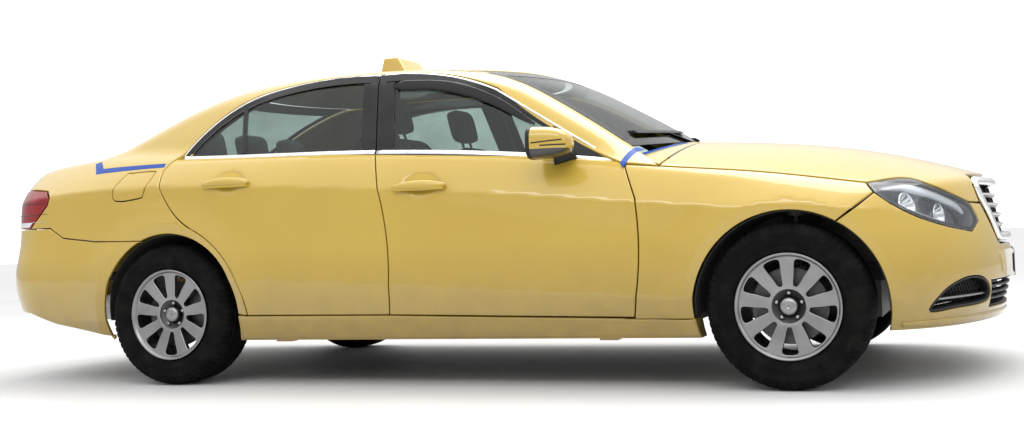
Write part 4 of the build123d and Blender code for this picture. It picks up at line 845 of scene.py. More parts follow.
def join(tree, value, socket):
    """Leads one socket to another, or sets a number or a colour there."""
    if isinstance(value, bpy.types.NodeSocket):
        tree.links.new(value, socket)
    elif isinstance(value, (int, float)):
        socket.default_value = value
    else:
        socket.default_value = (*value, 1)


def feed(tree, target, values):
    """Joins values to a shader's sockets by name."""
    for name, value in values.items():
        join(tree, value, target.inputs[name])


def place(tree):
    """Where a point is on the part at rest, in metres."""
    return node(tree, "TexCoord").outputs["Object"]


def noise(tree, scale, detail=4.0, rough=0.55):
    """Soft noise fixed to the part at rest."""
    made = node(tree, "TexNoise", Scale=scale, Detail=detail, Roughness=rough)
    tree.links.new(place(tree), made.inputs["Vector"])
    return made.outputs["Fac"]


def ramp(tree, source, *stops):
    """A colour ramp: each stop is a position and a grey value or a colour."""
    made = tree.nodes.new("ShaderNodeValToRGB")
    tree.links.new(source, made.inputs["Fac"])
    elements = made.color_ramp.elements
    while len(elements) < len(stops):
        elements.new(0.5)
    for element, (position, value) in zip(elements, stops):
        element.position = position
        element.color = (value, value, value, 1) if isinstance(value, (int, float)) else (*value, 1)
    return made.outputs["Color"]


def patches(tree, scale, low, high, detail=4.0):
    """Soft patches: nothing where the noise is below low, full above high."""
    return ramp(tree, noise(tree, scale, detail), (low, 0.0), (high, 1.0))


def mix(tree, factor, a, b):
    """Colours mixed by a factor; each may be a colour or a socket."""
    made = node(tree, "Mix", data_type="RGBA")
    for socket, value in ((made.inputs[0], factor), (made.inputs[6], a), (made.inputs[7], b)):
        join(tree, value, socket)
    return made.outputs[2]


def calc(tree, operation, a, b):
    """A sum, product or comparison of two values, each a socket or a number."""
    made = node(tree, "Math", operation=operation)
    for socket, value in zip(made.inputs, (a, b)):
        join(tree, value, socket)
    return made.outputs[0]


def parted(tree, vector):
    """The x, y and z of a vector."""
    split = node(tree, "SeparateXYZ")
    tree.links.new(vector, split.inputs[0])
    return split.outputs


def bump(tree, bsdf, height, distance, strength=1.0):
    """Fine relief on a shader, from a height."""
    made = node(tree, "Bump", Strength=strength, Distance=distance)
    tree.links.new(height, made.inputs["Height"])
    tree.links.new(made.outputs["Normal"], bsdf.inputs["Normal"])


PAINT = (0.48, 0.328, 0.043)
PAINT_WORN = (0.455, 0.306, 0.038)
BLUE, BLUE_WORN = (0.004, 0.055, 0.30), (0.004, 0.046, 0.26)
TRIM_DARK = (0.012, 0.012, 0.013)
# Painted shade low on the body: its colour, and the heights in metres between which it fades out
LOW_SHADE, LOW_SHADE_HEIGHTS = (0.20, 0.135, 0.035), (0.20, 0.62)


def low_down(tree, start, end):
    """One near the ground, falling to nothing at the upper height, in metres."""
    made = node(tree, "MapRange", in1=start, in2=end, in3=1.0, in4=0.0)
    tree.links.new(parted(tree, place(tree))["Z"], made.inputs[0])
    return made.outputs[0]


def body_shade(tree, colour, worn):
    """Body colour with wide worn patches."""
    return mix(tree, patches(tree, 1.3, 0.35, 0.7, 3.0), colour, worn)


def paint(name, colour, worn, black_below=None, coat=0.9, shine=0.5):
    """Gloss paint under a clear coat, with faint orange peel and painted shade that darkens it in streaks low
    down.
    """
    mat, tree, bsdf = shader(name)
    shade = body_shade(tree, colour, worn)
    if black_below is not None:
        below = calc(tree, "LESS_THAN", parted(tree, place(tree))["Z"], black_below)
        shade = mix(tree, below, shade, TRIM_DARK)
    # Painted shade: dark brown streaks over the lower body, fading out upwards, stand in for the shade low
    # down
    shade_streaks = ramp(tree, noise(tree, 9.0, 6.0, 0.65), (0.35, 0.62), (0.75, 0.92))
    low_shade = calc(tree, "MULTIPLY", low_down(tree, *LOW_SHADE_HEIGHTS), shade_streaks)
    feed(tree, bsdf, {
        "Base Color": mix(tree, low_shade, shade, LOW_SHADE),
        "Roughness": ramp(tree, noise(tree, 24.0, 5.0), (0.3, 0.28), (0.75, 0.36)),
        "Coat Weight": coat,
        "Specular IOR Level": shine,
        "Coat Roughness": 0.04,
    })
    bump(tree, bsdf, noise(tree, 190.0, 2.0), 0.0002, 0.25)
    return mat


# The belt line's fall along x and its height at x 0, in metres
# A face looks inwards where its y times its normal's y is below INNER_FACE
BELT_SLOPE, BELT_LEVEL, INNER_FACE = 0.0622, 1.003, -0.3


def door_shell(name):
    """Door shells: paint outside and on the edges up to the belt, dark trim inside and above it."""
    mat, tree, bsdf = shader(name)
    at = parted(tree, place(tree))
    out = parted(tree, node(tree, "TexCoord").outputs["Normal"])
    inside = calc(tree, "LESS_THAN", calc(tree, "MULTIPLY", out["Y"], at["Y"]), INNER_FACE)
    level = calc(tree, "ADD", at["Z"], calc(tree, "MULTIPLY", at["X"], BELT_SLOPE))
    dark = calc(tree, "MAXIMUM", inside, calc(tree, "GREATER_THAN", level, BELT_LEVEL))
    feed(tree, bsdf, {
        "Base Color": mix(tree, dark, body_shade(tree, PAINT, PAINT_WORN), TRIM_DARK),
        "Roughness": ramp(tree, noise(tree, 40.0), (0.3, 0.32), (0.7, 0.42)),
    })
    bump(tree, bsdf, noise(tree, 400.0, 2.0), 0.0002, 0.4)
    return mat


def plastic(name, colour, rough, grain=900.0, depth=0.0003, fade=1.6, shine=0.5):
    """Moulded plastic with a fine grain and slightly faded patches."""
    mat, tree, bsdf = shader(name)
    faded = tuple(min(1.0, c * fade + 0.004) for c in colour)
    feed(tree, bsdf, {
        "Base Color": mix(tree, patches(tree, 7.0, 0.4, 0.75), colour, faded),
        "Roughness": ramp(tree, noise(tree, 40.0), (0.3, rough - 0.05), (0.7, rough + 0.08)),
        "Specular IOR Level": shine,
    })
    bump(tree, bsdf, noise(tree, grain, 2.0), depth, 0.6)
    return mat


def metal(name, colour, rough, spread=0.08, scale=60.0):
    """Bright or cast metal with uneven polish."""
    mat, tree, bsdf = shader(name)
    dull = tuple(c * 0.82 for c in colour)
    polish = (0.3, max(0.02, rough - spread)), (0.7, rough + spread)
    feed(tree, bsdf, {
        "Base Color": mix(tree, patches(tree, scale / 3, 0.4, 0.7), colour, dull),
        "Roughness": ramp(tree, noise(tree, scale), *polish),
        "Metallic": 1.0,
    })
    bump(tree, bsdf, noise(tree, scale * 6, 3.0), 0.0002, 0.2)
    return mat


def rubber(name):
    """Tyre rubber: near black, with dusty patches."""
    mat, tree, bsdf = shader(name)
    dusty = ramp(tree, noise(tree, 14.0, 6.0), (0.45, (0.004, 0.004, 0.004)), (0.8, (0.013, 0.012, 0.011)))
    feed(tree, bsdf, {
        "Base Color": dusty,
        "Roughness": ramp(tree, noise(tree, 50.0), (0.3, 0.62), (0.7, 0.8)),
        "Specular IOR Level": 0.06,
    })
    bump(tree, bsdf, noise(tree, 700.0, 3.0), 0.0004, 0.5)
    return mat


# How much a pane reflects, from straight on to edge on
PANE_SHINE = ((0.0, 0.03), (0.5, 0.05), (0.75, 0.18), (1.0, 0.8))


def clear_glass(name, tint, rough=0.02):
    """Thin glass: tinted see-through, with reflections that grow at a glance."""
    mat, tree, bsdf = shader(name)
    tree.nodes.remove(bsdf)
    through = node(tree, "BsdfTransparent")
    smear = ramp(tree, noise(tree, 5.0, 5.0), (0.3, tint), (0.8, tuple(c * 0.86 for c in tint)))
    tree.links.new(smear, through.inputs["Color"])
    gloss = node(tree, "BsdfGlossy", Roughness=rough)
    facing = node(tree, "LayerWeight", Blend=0.5).outputs["Facing"]
    both = node(tree, "MixShader")
    tree.links.new(ramp(tree, facing, *PANE_SHINE), both.inputs[0])
    tree.links.new(through.outputs[0], both.inputs[1])
    tree.links.new(gloss.outputs[0], both.inputs[2])
    tree.links.new(both.outputs[0], tree.nodes["Material Output"].inputs["Surface"])
    return mat


def cloth(name, colour, thread=420.0):
    """Woven seat cloth: crossed threads, soft sheen and uneven wear."""
    mat, tree, bsdf = shader(name)
    threads = []
    for axis in ("X", "Z"):
        wave = node(tree, "TexWave", Scale=thread, Distortion=1.2, Detail=1.0, bands_direction=axis)
        tree.links.new(place(tree), wave.inputs["Vector"])
        threads.append(wave.outputs["Fac"])
    weave = calc(tree, "MAXIMUM", *threads)
    light = tuple(min(1.0, c * 1.7 + 0.01) for c in colour)
    feed(tree, bsdf, {
        "Base Color": mix(tree, patches(tree, 11.0, 0.35, 0.75, 5.0), colour, light),
        "Roughness": ramp(tree, noise(tree, 30.0), (0.3, 0.72), (0.7, 0.9)),
        "Sheen Weight": 0.3,
    })
    bump(tree, bsdf, weave, 0.0005, 0.6)
    return mat


YELLOW = paint("paint_yellow", PAINT, PAINT_WORN)
DOOR_SHELL = door_shell("door_shell")
MIRROR_PAINT = paint("paint_mirror", PAINT, PAINT_WORN, black_below=0.986)
STRIPE = paint("paint_blue", BLUE, BLUE_WORN, coat=0.1, shine=0.15)
BLACK = plastic("trim_black", TRIM_DARK, 0.42, shine=0.25)
GLOSS_BLACK = plastic("pillar_black", (0.008, 0.008, 0.009), 0.14, grain=300.0, depth=0.0001, shine=0.28)
UNDER = plastic("underside_black", (0.016, 0.015, 0.014), 0.7, grain=160.0, depth=0.001)
RUBBER = rubber("tyre_rubber")
CHROME = metal("bright_trim", (0.86, 0.87, 0.89), 0.1, 0.05)
ALLOY = metal("wheel_alloy", (0.30, 0.30, 0.305), 0.32, 0.04, 24.0)
STEEL = metal("brake_steel", (0.42, 0.41, 0.4), 0.34, 0.1, 120.0)
IRON = metal("cast_iron", (0.12, 0.115, 0.11), 0.55, 0.1, 90.0)
GLASS = clear_glass("window_glass", (0.66, 0.72, 0.70))
SMOKED = clear_glass("deflector_smoked", (0.14, 0.14, 0.15))
LENS = clear_glass("lamp_clear", (0.95, 0.96, 0.97))
RED_LENS = plastic("lamp_red", (0.20, 0.004, 0.007), 0.1, grain=260.0, depth=0.0004, fade=1.5)
LAMP_DEEP = plastic("lamp_deep_red", (0.10, 0.003, 0.005), 0.12, grain=260.0, depth=0.0002)
LAMP_PALE = plastic("lamp_pale", (0.62, 0.63, 0.66), 0.2, grain=300.0, depth=0.0002, fade=1.1)
LAMP_GREY = plastic("lamp_grey", (0.36, 0.38, 0.40), 0.25, fade=1.3, shine=0.7)
LAMP_DARK = plastic("lamp_dark", (0.02, 0.021, 0.023), 0.2)
LENS_FROST = plastic("bulb_frost", (0.75, 0.76, 0.78), 0.18, fade=1.1)
MIRROR = metal("mirror_silver", (0.8, 0.82, 0.84), 0.04, 0.02)
SEAT = cloth("seat_cloth", (0.045, 0.046, 0.05))
CABIN = plastic("cabin_grey", (0.06, 0.06, 0.062), 0.6, grain=500.0)
WHITE = plastic("plate_white", (0.72, 0.72, 0.7), 0.35, fade=1.05)


# Camera, floor and light

PHOTO_WIDTH = 1024.0
CAMERA_AT = Vector((2.3575, -5.4189, 0.6497))
CAMERA_YAW, CAMERA_PITCH, CAMERA_ROLL = (math.radians(a) for a in (18.7856, 1.9377, -2.0440))
FOCAL_PX = 1169.38
PRINCIPAL_PX = (79.84, -28.97)
SENSOR_MM = 36.0


def add_camera():
    """The photo's camera: fitted place, aim, focal length and off-centre axis."""
    level = math.cos(CAMERA_PITCH)
    aim = Vector((-math.sin(CAMERA_YAW) * level, math.cos(CAMERA_YAW) * level, math.sin(CAMERA_PITCH)))
    right = aim.cross(Vector((0, 0, 1))).normalized()
    up = right.cross(aim)
    turn, lean = math.cos(CAMERA_ROLL), math.sin(CAMERA_ROLL)
    x_axis, y_axis = turn * right + lean * up, turn * up - lean * right
    data = bpy.data.cameras.new("camera")
    data.sensor_width = SENSOR_MM
    data.lens = FOCAL_PX / PHOTO_WIDTH * SENSOR_MM
    data.shift_x = -PRINCIPAL_PX[0] / PHOTO_WIDTH
    data.shift_y = PRINCIPAL_PX[1] / PHOTO_WIDTH
    data.clip_end = 200.0
    camera = bpy.data.objects.new("camera", data)
    camera.matrix_world = Matrix((x_axis, y_axis, -aim)).transposed().to_4x4()
    camera.location = CAMERA_AT
    bpy.context.scene.collection.objects.link(camera)
    bpy.context.scene.camera = camera


# Soft lights: name, place in metres, aim, width, length, watts
SOFT_LIGHTS = [
    ("overhead", (0.3, 1.0, 5.0), (0.0, 0.0, 0.0), 7.0, 3.0, 300.0),
    ("near_side", (1.5, -6.5, 5.2), (0.3, 0.0, 0.9), 8.0, 1.2, 130.0),
    ("nose", (7.5, -3.0, 3.2), (2.0, 0.0, 0.6), 3.0, 2.0, 25.0),
]
SKY_PEAK = 1.75
SKY_STEPS = ((0.0, 0.20), (0.47, 0.22), (0.52, 0.34), (0.66, 0.60), (1.0, 1.0))
FLOOR_RADIUS, FLOOR_Z = 60000.0, -0.5


def add_studio():
    """Soft lights, a sky that brightens upwards and shows white behind the car, and a pale floor."""
    for name, at, aim, width, length, watts in SOFT_LIGHTS:
        data = bpy.data.lights.new(name, "AREA")
        data.shape = "RECTANGLE"
        data.size, data.size_y, data.energy = width, length, watts
        lamp = bpy.data.objects.new(name, data)
        lamp.location = at
        lamp.rotation_euler = (Vector(aim) - Vector(at)).to_track_quat("-Z", "Y").to_euler()
        bpy.context.scene.collection.objects.link(lamp)
    world = bpy.data.worlds.new("studio")
    bpy.context.scene.world = world
    world.use_nodes = True
    tree = world.node_tree
    height = node(tree, "MapRange", in1=-1.0, in2=1.0)
    tree.links.new(parted(tree, node(tree, "TexCoord").outputs["Generated"])["Z"], height.inputs[0])
    glow = ramp(tree, height.outputs[0], *SKY_STEPS)
    seen = node(tree, "LightPath").outputs["Is Camera Ray"]
    tree.links.new(mix(tree, seen, glow, (1.0, 1.0, 1.0)), tree.nodes["Background"].inputs["Color"])
    tree.nodes["Background"].inputs["Strength"].default_value = SKY_PEAK
    mat, tree, bsdf = shader("floor_pale")
    feed(tree, bsdf, {
        "Base Color": ramp(tree, noise(tree, 0.8, 3.0), (0.3, 0.60), (0.7, 0.64)),
        "Roughness": 0.6,
        "Specular IOR Level": 0.2,
    })
    ring = [(x, y, FLOOR_Z) for x, y in ring_points(FLOOR_RADIUS, 96)]
    new_object("floor", ring, [tuple(range(len(ring)))], mat)


add_camera()
add_studio()


# Outlines of the panels: side view (x, z) unless said otherwise

SPLIT_TOP, SPLIT_BELT, SPLIT_MID, SPLIT_LOW = (-283, 1401), (-206, 1024), (-118, 640), (-121, 314)
FRONT_CORNER, FRONT_EDGE, FRONT_MID, FRONT_LOW = (940, 916), (1004, 770), (1013, 560), (982, 292)
FRONT_BEND, FRONT_ROOF = (317, 1290), (40, 1378)
REAR_CORNER, REAR_HIP, REAR_WAIST = (-1300, 1052), (-1322, 1000), (-1235, 812)
REAR_ARCH_TOP, REAR_ARCH, REAR_LOW = (-1105, 712), (-950, 588), (-833, 319)
REAR_BEND, REAR_CURVE, REAR_ROOF = (-833, 1371), (-1118, 1254), (-560, 1403)
BONNET_REAR, BONNET_FRONT = (1085, 901), (1905, 796)
BONNET_EDGE = [BONNET_REAR, (1500, 858), BONNET_FRONT]
BONNET_HALF, BONNET_BOW, BONNET_BOW_HALF = 790, 50, 820
LAMP_TOP, LAMP_BROW, LAMP_FRONT_TOP, LAMP_FRONT = (2045, 812), (2150, 774), (2275, 708), (2308, 632)
LAMP_CHIN, LAMP_JAW, LAMP_BELLY, LAMP_CHEEK = (2285, 592), (2190, 618), (2085, 660), (1997, 711)
BUMPER_ARCH, BUMPER_LAMP = (1812, 650), (1937, 756)
GRILLE_GAP = 2.0
GRILLE_HALF = [(-395, 812), (-432, 776), (-424, 720), (-330, 556), (-300, 546)]
TAIL_TIP, TAIL_SHOULDER, TAIL_TOP = (-1984, 900), (-2030, 934), (-2175, 946)
TAIL_UNDER, TAIL_CHEEK = (-2128, 752), (-1998, 866)
BUMPER_BACK = [(-1692, 678), (-1898, 701), (-1984, 752)]
BOOT_FRONT_X, BOOT_BOW, BOOT_HALF, BOOT_LOW_Z = -1965, 45, 590, 696
LID_EDGE_X = -2270
LID_LAMP_Y, LAMP_LOW_Z, LAMP_HIGH_Z = 330, 752, 946
SCREEN_HALF = [(-545, 1398), (-700, 1000)]
REAR_SCREEN_HALF = [(-470, 1395), (-590, 1085)]
SCREEN_START_X, REAR_START_X = 0.0, -600.0
SILL_SPLIT_Z, NOSE_SPLIT_Z = 284, 706
NOSE_PANEL = [(-436, NOSE_SPLIT_Z), (-441, 776), (-400, 821), (-200, 824)]
BUMPER_NOSE = [(-434, NOSE_SPLIT_Z - 2), (-338, 550), (-304, 537), (-150, 535)]
BUMPER_LOW_Z = 225
BUMPER_TAIL_Y = -BOOT_HALF - 2
BUMPER_TAIL = [
    (-700, LAMP_LOW_Z), (BUMPER_TAIL_Y, LAMP_LOW_Z), (BUMPER_TAIL_Y, BOOT_LOW_Z), (-300, BOOT_LOW_Z),
]
BUMPER_LOW_SIDE, BUMPER_LOW_BACK = [(-1631, 222), (-1973, 282), (-2150, 335)], [(-600, 352), (0, 356)]
SIDE_ROOF_EDGE = [(230, -552), (-330, -562), (-960, -505)]
# Angles on the arches where wing, sills and bumpers end, in degrees
WING_FOOT, SILL_FOOT_FRONT, SILL_FOOT_REAR, BUMPER_FOOT_FRONT, BUMPER_FOOT_REAR = 186, 197, -17, -15, 197
FOG_LOOP = [
    (2120, 294), (2166, 360), (2216, 398), (2270, 417),
    (2318, 408), (2340, 362), (2322, 312), (2220, 300),
]
INTAKE_HALF = [(-420, 285), (-452, 392), (-200, 396)]
FLAP_LOOP = [(-1570, 873), (-1545, 985), (-1500, 997), (-1385, 999), (-1367, 985), (-1392, 895), (-1425, 873)]


def belt_run(x0, x1, steps=24, rise=0.0):
    """Points along the belt line."""
    return [(x, float(BELT_Z(x)) + rise) for x in np.linspace(x0, x1, steps + 1)]


def arch_run(axle_x, start, end, steps=40, radius=ARCH_R):
    """Points round a wheel arch between two angles in degrees, 90 at the top."""
    centre = axle_x + ARCH_SHIFT_X
    angles = np.radians(np.linspace(start, end, steps + 1))
    return [(centre + radius * math.cos(a), ARCH_Z + radius * math.sin(a)) for a in angles]


def arch_angle(z, front):
    """The angle on a wheel arch at a height, on its front or rear half."""
    a = math.degrees(math.asin((z - ARCH_Z) / ARCH_R))
    return a if front else 180 - a


def rear_door_edge():
    """The rear edge of the rear door below its window, from the sill upwards."""
    return [*arc(REAR_LOW, REAR_ARCH, REAR_ARCH_TOP), *arc(REAR_ARCH_TOP, REAR_WAIST, REAR_HIP)[1:]]


def rear_window_top():
    """The top of the rear door's window, from its rear corner to the split between the doors."""
    return [*arc(REAR_CORNER, REAR_CURVE, REAR_BEND), *arc(REAR_BEND, REAR_ROOF, SPLIT_TOP)[1:]]


def front_door_low():
    """The front door below its window."""
    return [
        *arc(SPLIT_BELT, SPLIT_MID, SPLIT_LOW),
        *arc(FRONT_LOW, FRONT_MID, FRONT_EDGE),
        *belt_run(FRONT_CORNER[0], SPLIT_BELT[0])[:-1],
    ]


def rear_door_low():
    """The rear door below its window."""
    return [
        *arc(SPLIT_BELT, SPLIT_MID, SPLIT_LOW),
        *rear_door_edge(),
        *belt_run(REAR_CORNER[0], SPLIT_BELT[0])[:-1],
    ]


def fender_outline():
    """The front wing between door, bonnet, lamp and arch."""
    return [
        *arc(FRONT_LOW, FRONT_MID, FRONT_EDGE),
        FRONT_CORNER,
        *bend(BONNET_EDGE),
        BUMPER_LAMP,
        *arch_run(AXLE_FRONT_X, arch_angle(BUMPER_ARCH[1], True), WING_FOOT),
        (FRONT_LOW[0], SILL_SPLIT_Z),
    ]


def sill_outline():
    """The sill under the doors, from arch to arch."""
    return [
        (FRONT_LOW[0], SILL_SPLIT_Z + 2),
        SPLIT_LOW,
        REAR_LOW,
        *arch_run(AXLE_REAR_X, 0, SILL_FOOT_REAR, 4),
        *arch_run(AXLE_FRONT_X, SILL_FOOT_FRONT, WING_FOOT, 4),
    ]


def grow_all(loops):
    """Outlines drawn on the shut lines, drawn back by half a gap; holes likewise."""
    return [grown(loops[0], -SHUT_GAP / 2), *[grown(loop, SHUT_GAP / 2) for loop in loops[1:]]]


def side_frame_outline():
    """The body's side from the windscreen pillar over the doors to the tail, rolled over the shoulder."""
    door_edge = [
        *rear_door_edge(),
        *rear_window_top(),
        *arc(SPLIT_TOP, FRONT_ROOF, FRONT_BEND)[1:],
        FRONT_CORNER,
    ]
    arch = arch_run(AXLE_REAR_X, arch_angle(BUMPER_BACK[0][1] - 6, False), 0)
    lamp = [TAIL_TOP, TAIL_SHOULDER, TAIL_TIP, TAIL_CHEEK, TAIL_UNDER]
    screen = on_front(line(SCREEN_HALF[1], SCREEN_HALF[0], 24), upper, SCREEN_START_X)
    rear_screen = on_back(line(REAR_SCREEN_HALF[0], REAR_SCREEN_HALF[1], 24), upper, REAR_START_X)
    lid_front = (BOOT_FRONT_X, -BOOT_HALF)
    lamp_ends = flat_tail(on_back([(-BOOT_HALF, LAMP_HIGH_Z)])) + flat_tail(on_side([TAIL_TOP], lower))
    lamp_top = round_tail(lower)(np.linspace(lamp_ends[0][0], lamp_ends[1][0], 12), LAMP_HIGH_Z)
    return [
        *flat_shoulder(on_side(belt_run(FRONT_CORNER[0], BONNET_REAR[0], 4))),
        *flat_shoulder(screen),
        *flat_shoulder(on_top(bend(SIDE_ROOF_EDGE), upper)),
        *flat_shoulder(rear_screen),
        *flat_shoulder(on_top(line(lid_front, (LID_EDGE_X, -BOOT_HALF), 16))),
        *flat_shoulder(lamp_top[:-1]),
        *flat_shoulder(on_side(lamp + BUMPER_BACK[::-1] + arch + door_edge)),
    ]


def bonnet_rear_x(y):
    """Rear edge of the bonnet in plan."""
    return BONNET_REAR[0] + BONNET_BOW * (1 - (y / BONNET_BOW_HALF) ** 2)


def bonnet_outline():
    """The bonnet with the nose panel round the grille, rolled over the nose."""
    sides = bend(BONNET_EDGE) + bend([BONNET_FRONT, LAMP_TOP, LAMP_BROW, LAMP_FRONT_TOP])[1:]
    half = flat_bonnet(on_side(sides, lower)) + flat_bonnet(on_front(NOSE_PANEL))
    rear = [(bonnet_rear_x(y), y) for y in np.linspace(BONNET_HALF, -BONNET_HALF, 33)]
    return [*flat_bonnet(on_top(rear, lower)), *half, *[(u, -v) for u, v in reversed(half)]]


def grille_outline():
    """The grille in front view."""
    return grown(mirrored(GRILLE_HALF), -GRILLE_GAP)


def front_bumper_outline():
    """The front bumper, wrapped round the nose."""
    arch = arch_run(AXLE_FRONT_X, BUMPER_FOOT_FRONT, arch_angle(BUMPER_ARCH[1], True), 24)
    lamp = [BUMPER_LAMP, *bend([LAMP_CHEEK, LAMP_BELLY, LAMP_JAW, LAMP_CHIN]), LAMP_FRONT, LAMP_FRONT_TOP]
    half = flat_nose(on_side(arch + lamp, lower)) + flat_nose(on_front(BUMPER_NOSE))
    low = [(WRAP_R * a, BUMPER_LOW_Z) for a in np.linspace(half[0][0] / WRAP_R, 0, 20)][1:]
    return [*[(-u, v) for u, v in reversed(low[:-1])], *[(-u, v) for u, v in half], *reversed(half), *low]


def rear_bumper_outline():
    """The rear bumper, wrapped round the tail; its lower edge rises behind the wheels."""
    arch = arch_run(AXLE_REAR_X, BUMPER_FOOT_REAR, arch_angle(BUMPER_BACK[0][1] - 6, False), 24)
    top = BUMPER_BACK + [TAIL_UNDER]
    half = flat_tail(on_side(arch + top, lower)) + flat_tail(on_back(BUMPER_TAIL))
    low = flat_tail(on_side(BUMPER_LOW_SIDE, lower)) + flat_tail(on_back(BUMPER_LOW_BACK))
    return [*half, *[(-u, v) for u, v in reversed(half)], *[(-u, v) for u, v in low[:-1]], *reversed(low)]


def boot_lid_outline():
    """The boot lid with notches for its lamps, rolled over the tail."""
    across = np.linspace(BOOT_HALF, -BOOT_HALF, 25)
    front = [(BOOT_FRONT_X - BOOT_BOW * (1 - (y / BOOT_HALF) ** 2), y) for y in across]
    side = line((BOOT_FRONT_X, -BOOT_HALF), (LID_EDGE_X, -BOOT_HALF), 16)[1:]
    corners = [
        (-BOOT_HALF, LAMP_HIGH_Z), (-LID_LAMP_Y, LAMP_HIGH_Z), (-LID_LAMP_Y, LAMP_LOW_Z),
        (-BOOT_HALF, LAMP_LOW_Z), (-BOOT_HALF, BOOT_LOW_Z),
    ]
    half = flat_lid(on_top(side, lower)) + flat_lid(on_back(corners, lower, LID_X))
    return [*flat_lid(on_top(front, lower)), *half, *[(u, -v) for u, v in reversed(half)]]


BODY_PAIR = ("body", "body")
FRONT_DOORS = ("front_door_right", "front_door_left")
REAR_DOORS = ("rear_door_right", "rear_door_left")
ROOF_EDGE = [(230, -546), (-330, -556), (-960, -499)]
# Half width and height of the roof's front and rear edges
ROOF_FRONT, ROOF_BACK = (545, 1404), (470, 1401)


def roof_outline():
    """The roof between the side frames, in plan."""
    half, z = ROOF_FRONT
    front = on_front([(y, z) for y in np.linspace(half, -half, 25)], upper, SCREEN_START_X)
    half, z = ROOF_BACK
    back = on_back([(y, z) for y in np.linspace(-half, half, 25)], upper, REAR_START_X)
    front, back = ([(p[0], p[1]) for p in edge] for edge in (front, back))
    side = bend(ROOF_EDGE)
    return [*front, *side, *back, *[(x, -y) for x, y in reversed(side)]]


def fog_outline():
    """The opening in the bumper's corner, wrapped round the nose."""
    return flat_nose(on_side(closed(FOG_LOOP), lower))


def intake_outline():
    """The low opening in the bumper's middle, wrapped round the nose."""
    return flat_nose(on_front(tidy(mirrored(INTAKE_HALF), 40)))


def flap_outline():
    """The fuel flap, rolled over the shoulder."""
    return flat_shoulder(on_side(closed(FLAP_LOOP)))


def headlamp_outline():
    """The headlamp, wrapped round the nose."""
    upper_edge = bend([BONNET_FRONT, LAMP_TOP, LAMP_BROW, LAMP_FRONT_TOP, LAMP_FRONT, LAMP_CHIN])
    lower_edge = bend([LAMP_CHIN, LAMP_JAW, LAMP_BELLY, LAMP_CHEEK, BUMPER_LAMP])
    return flat_nose(on_side(upper_edge + lower_edge[1:], lower))


FRONT_HANDLE, REAR_HANDLE = (-69, 166, 858), (-1039, -812, 914)
SCOOP_LENGTH, SCOOP_HALF, SCOOP_RISE, SCOOP_DEPTH = 0.9, 62.0, 12.0, 26.0


def dented(lay, handle):
    """A side-view surface with a scooped hollow behind a door handle."""
    x0, x1, z = handle
    middle, half = (x0 + x1) / 2, (x1 - x0) / 2

    def laid(u, v):
        p = lay(u, v)
        r = np.hypot((u - middle) / (half * SCOOP_LENGTH), (v - z - SCOOP_RISE) / SCOOP_HALF)
        fall = np.clip(1 - r, 0, 1)
        p[..., 1] += SCOOP_DEPTH * fall * fall * (3 - 2 * fall)
        return p

    return laid


def add_panels():
    """The painted outside of the car."""
    side = from_side(lower)
    doors = (
        ("skin_front_door", FRONT_DOORS, front_door_low(), FRONT_HANDLE),
        ("skin_rear_door", REAR_DOORS, rear_door_low(), REAR_HANDLE),
    )
    for name, bodies, loop, grip in doors:
        skin(name, bodies, grow_all([loop]), dented(side, grip), YELLOW)
    for obj in skin("skin_fender", BODY_PAIR, grow_all([fender_outline()]), side, YELLOW):
        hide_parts("front_fenders")
    skin("skin_sill", BODY_PAIR, grow_all([sill_outline()]), side, YELLOW)
    over = over_shoulder(whole)
    skin("skin_fuel_flap", BODY_PAIR, [grown(flap_outline(), -1.5)], over, YELLOW)
    sides = grow_all([side_frame_outline(), flap_outline()])
    for obj in skin("skin_body_side", BODY_PAIR, sides, over, YELLOW):
        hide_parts("quarter_panels", "roof")
    bumper_loops = [front_bumper_outline(), fog_outline(), mirror_u(fog_outline()), intake_outline()]
    panels = (
        ("bonnet", "bonnet", [bonnet_outline()], over_nose(lower)),
        ("front_bumper", "body", bumper_loops, round_nose(lower)),
        ("rear_bumper", "body", [rear_bumper_outline()], round_tail(lower)),
        ("boot_lid", "boot_lid", [boot_lid_outline()], over_tail(lower)),
        ("roof", "body", [roof_outline()], from_top(upper, 900.0)),
    )
    for node_name, body, loops, lay in panels:
        for obj in skin("skin_" + node_name, body, grow_all(loops), lay, YELLOW):
            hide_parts(node_name)


# Cowl panels: half width of the middle one, inner and outer y of the side ones
COWL_MIDDLE_HALF, COWL_SIDE_SPAN = 228.0, (272.0, 680.0)
SCREEN_FOOT_X, SCREEN_FOOT_BOW, SCREEN_FOOT_HALF, COWL_GAP = 1062.0, 125.0, 700.0, 8.0
COWL_CORNER = [(1080, -800), (1000, -752), (930, -706)]
COWL_STRIPE_IN, COWL_STRIPE_WIDTH, STRIPE_LIFT = 4.0, 30.0, SKIN_LIFT + 0.7


def screen_foot_x(y):
    """Front edge of the gutter under the windscreen in plan."""
    return SCREEN_FOOT_X - SCREEN_FOOT_BOW * (y / SCREEN_FOOT_HALF) ** 2 + COWL_GAP


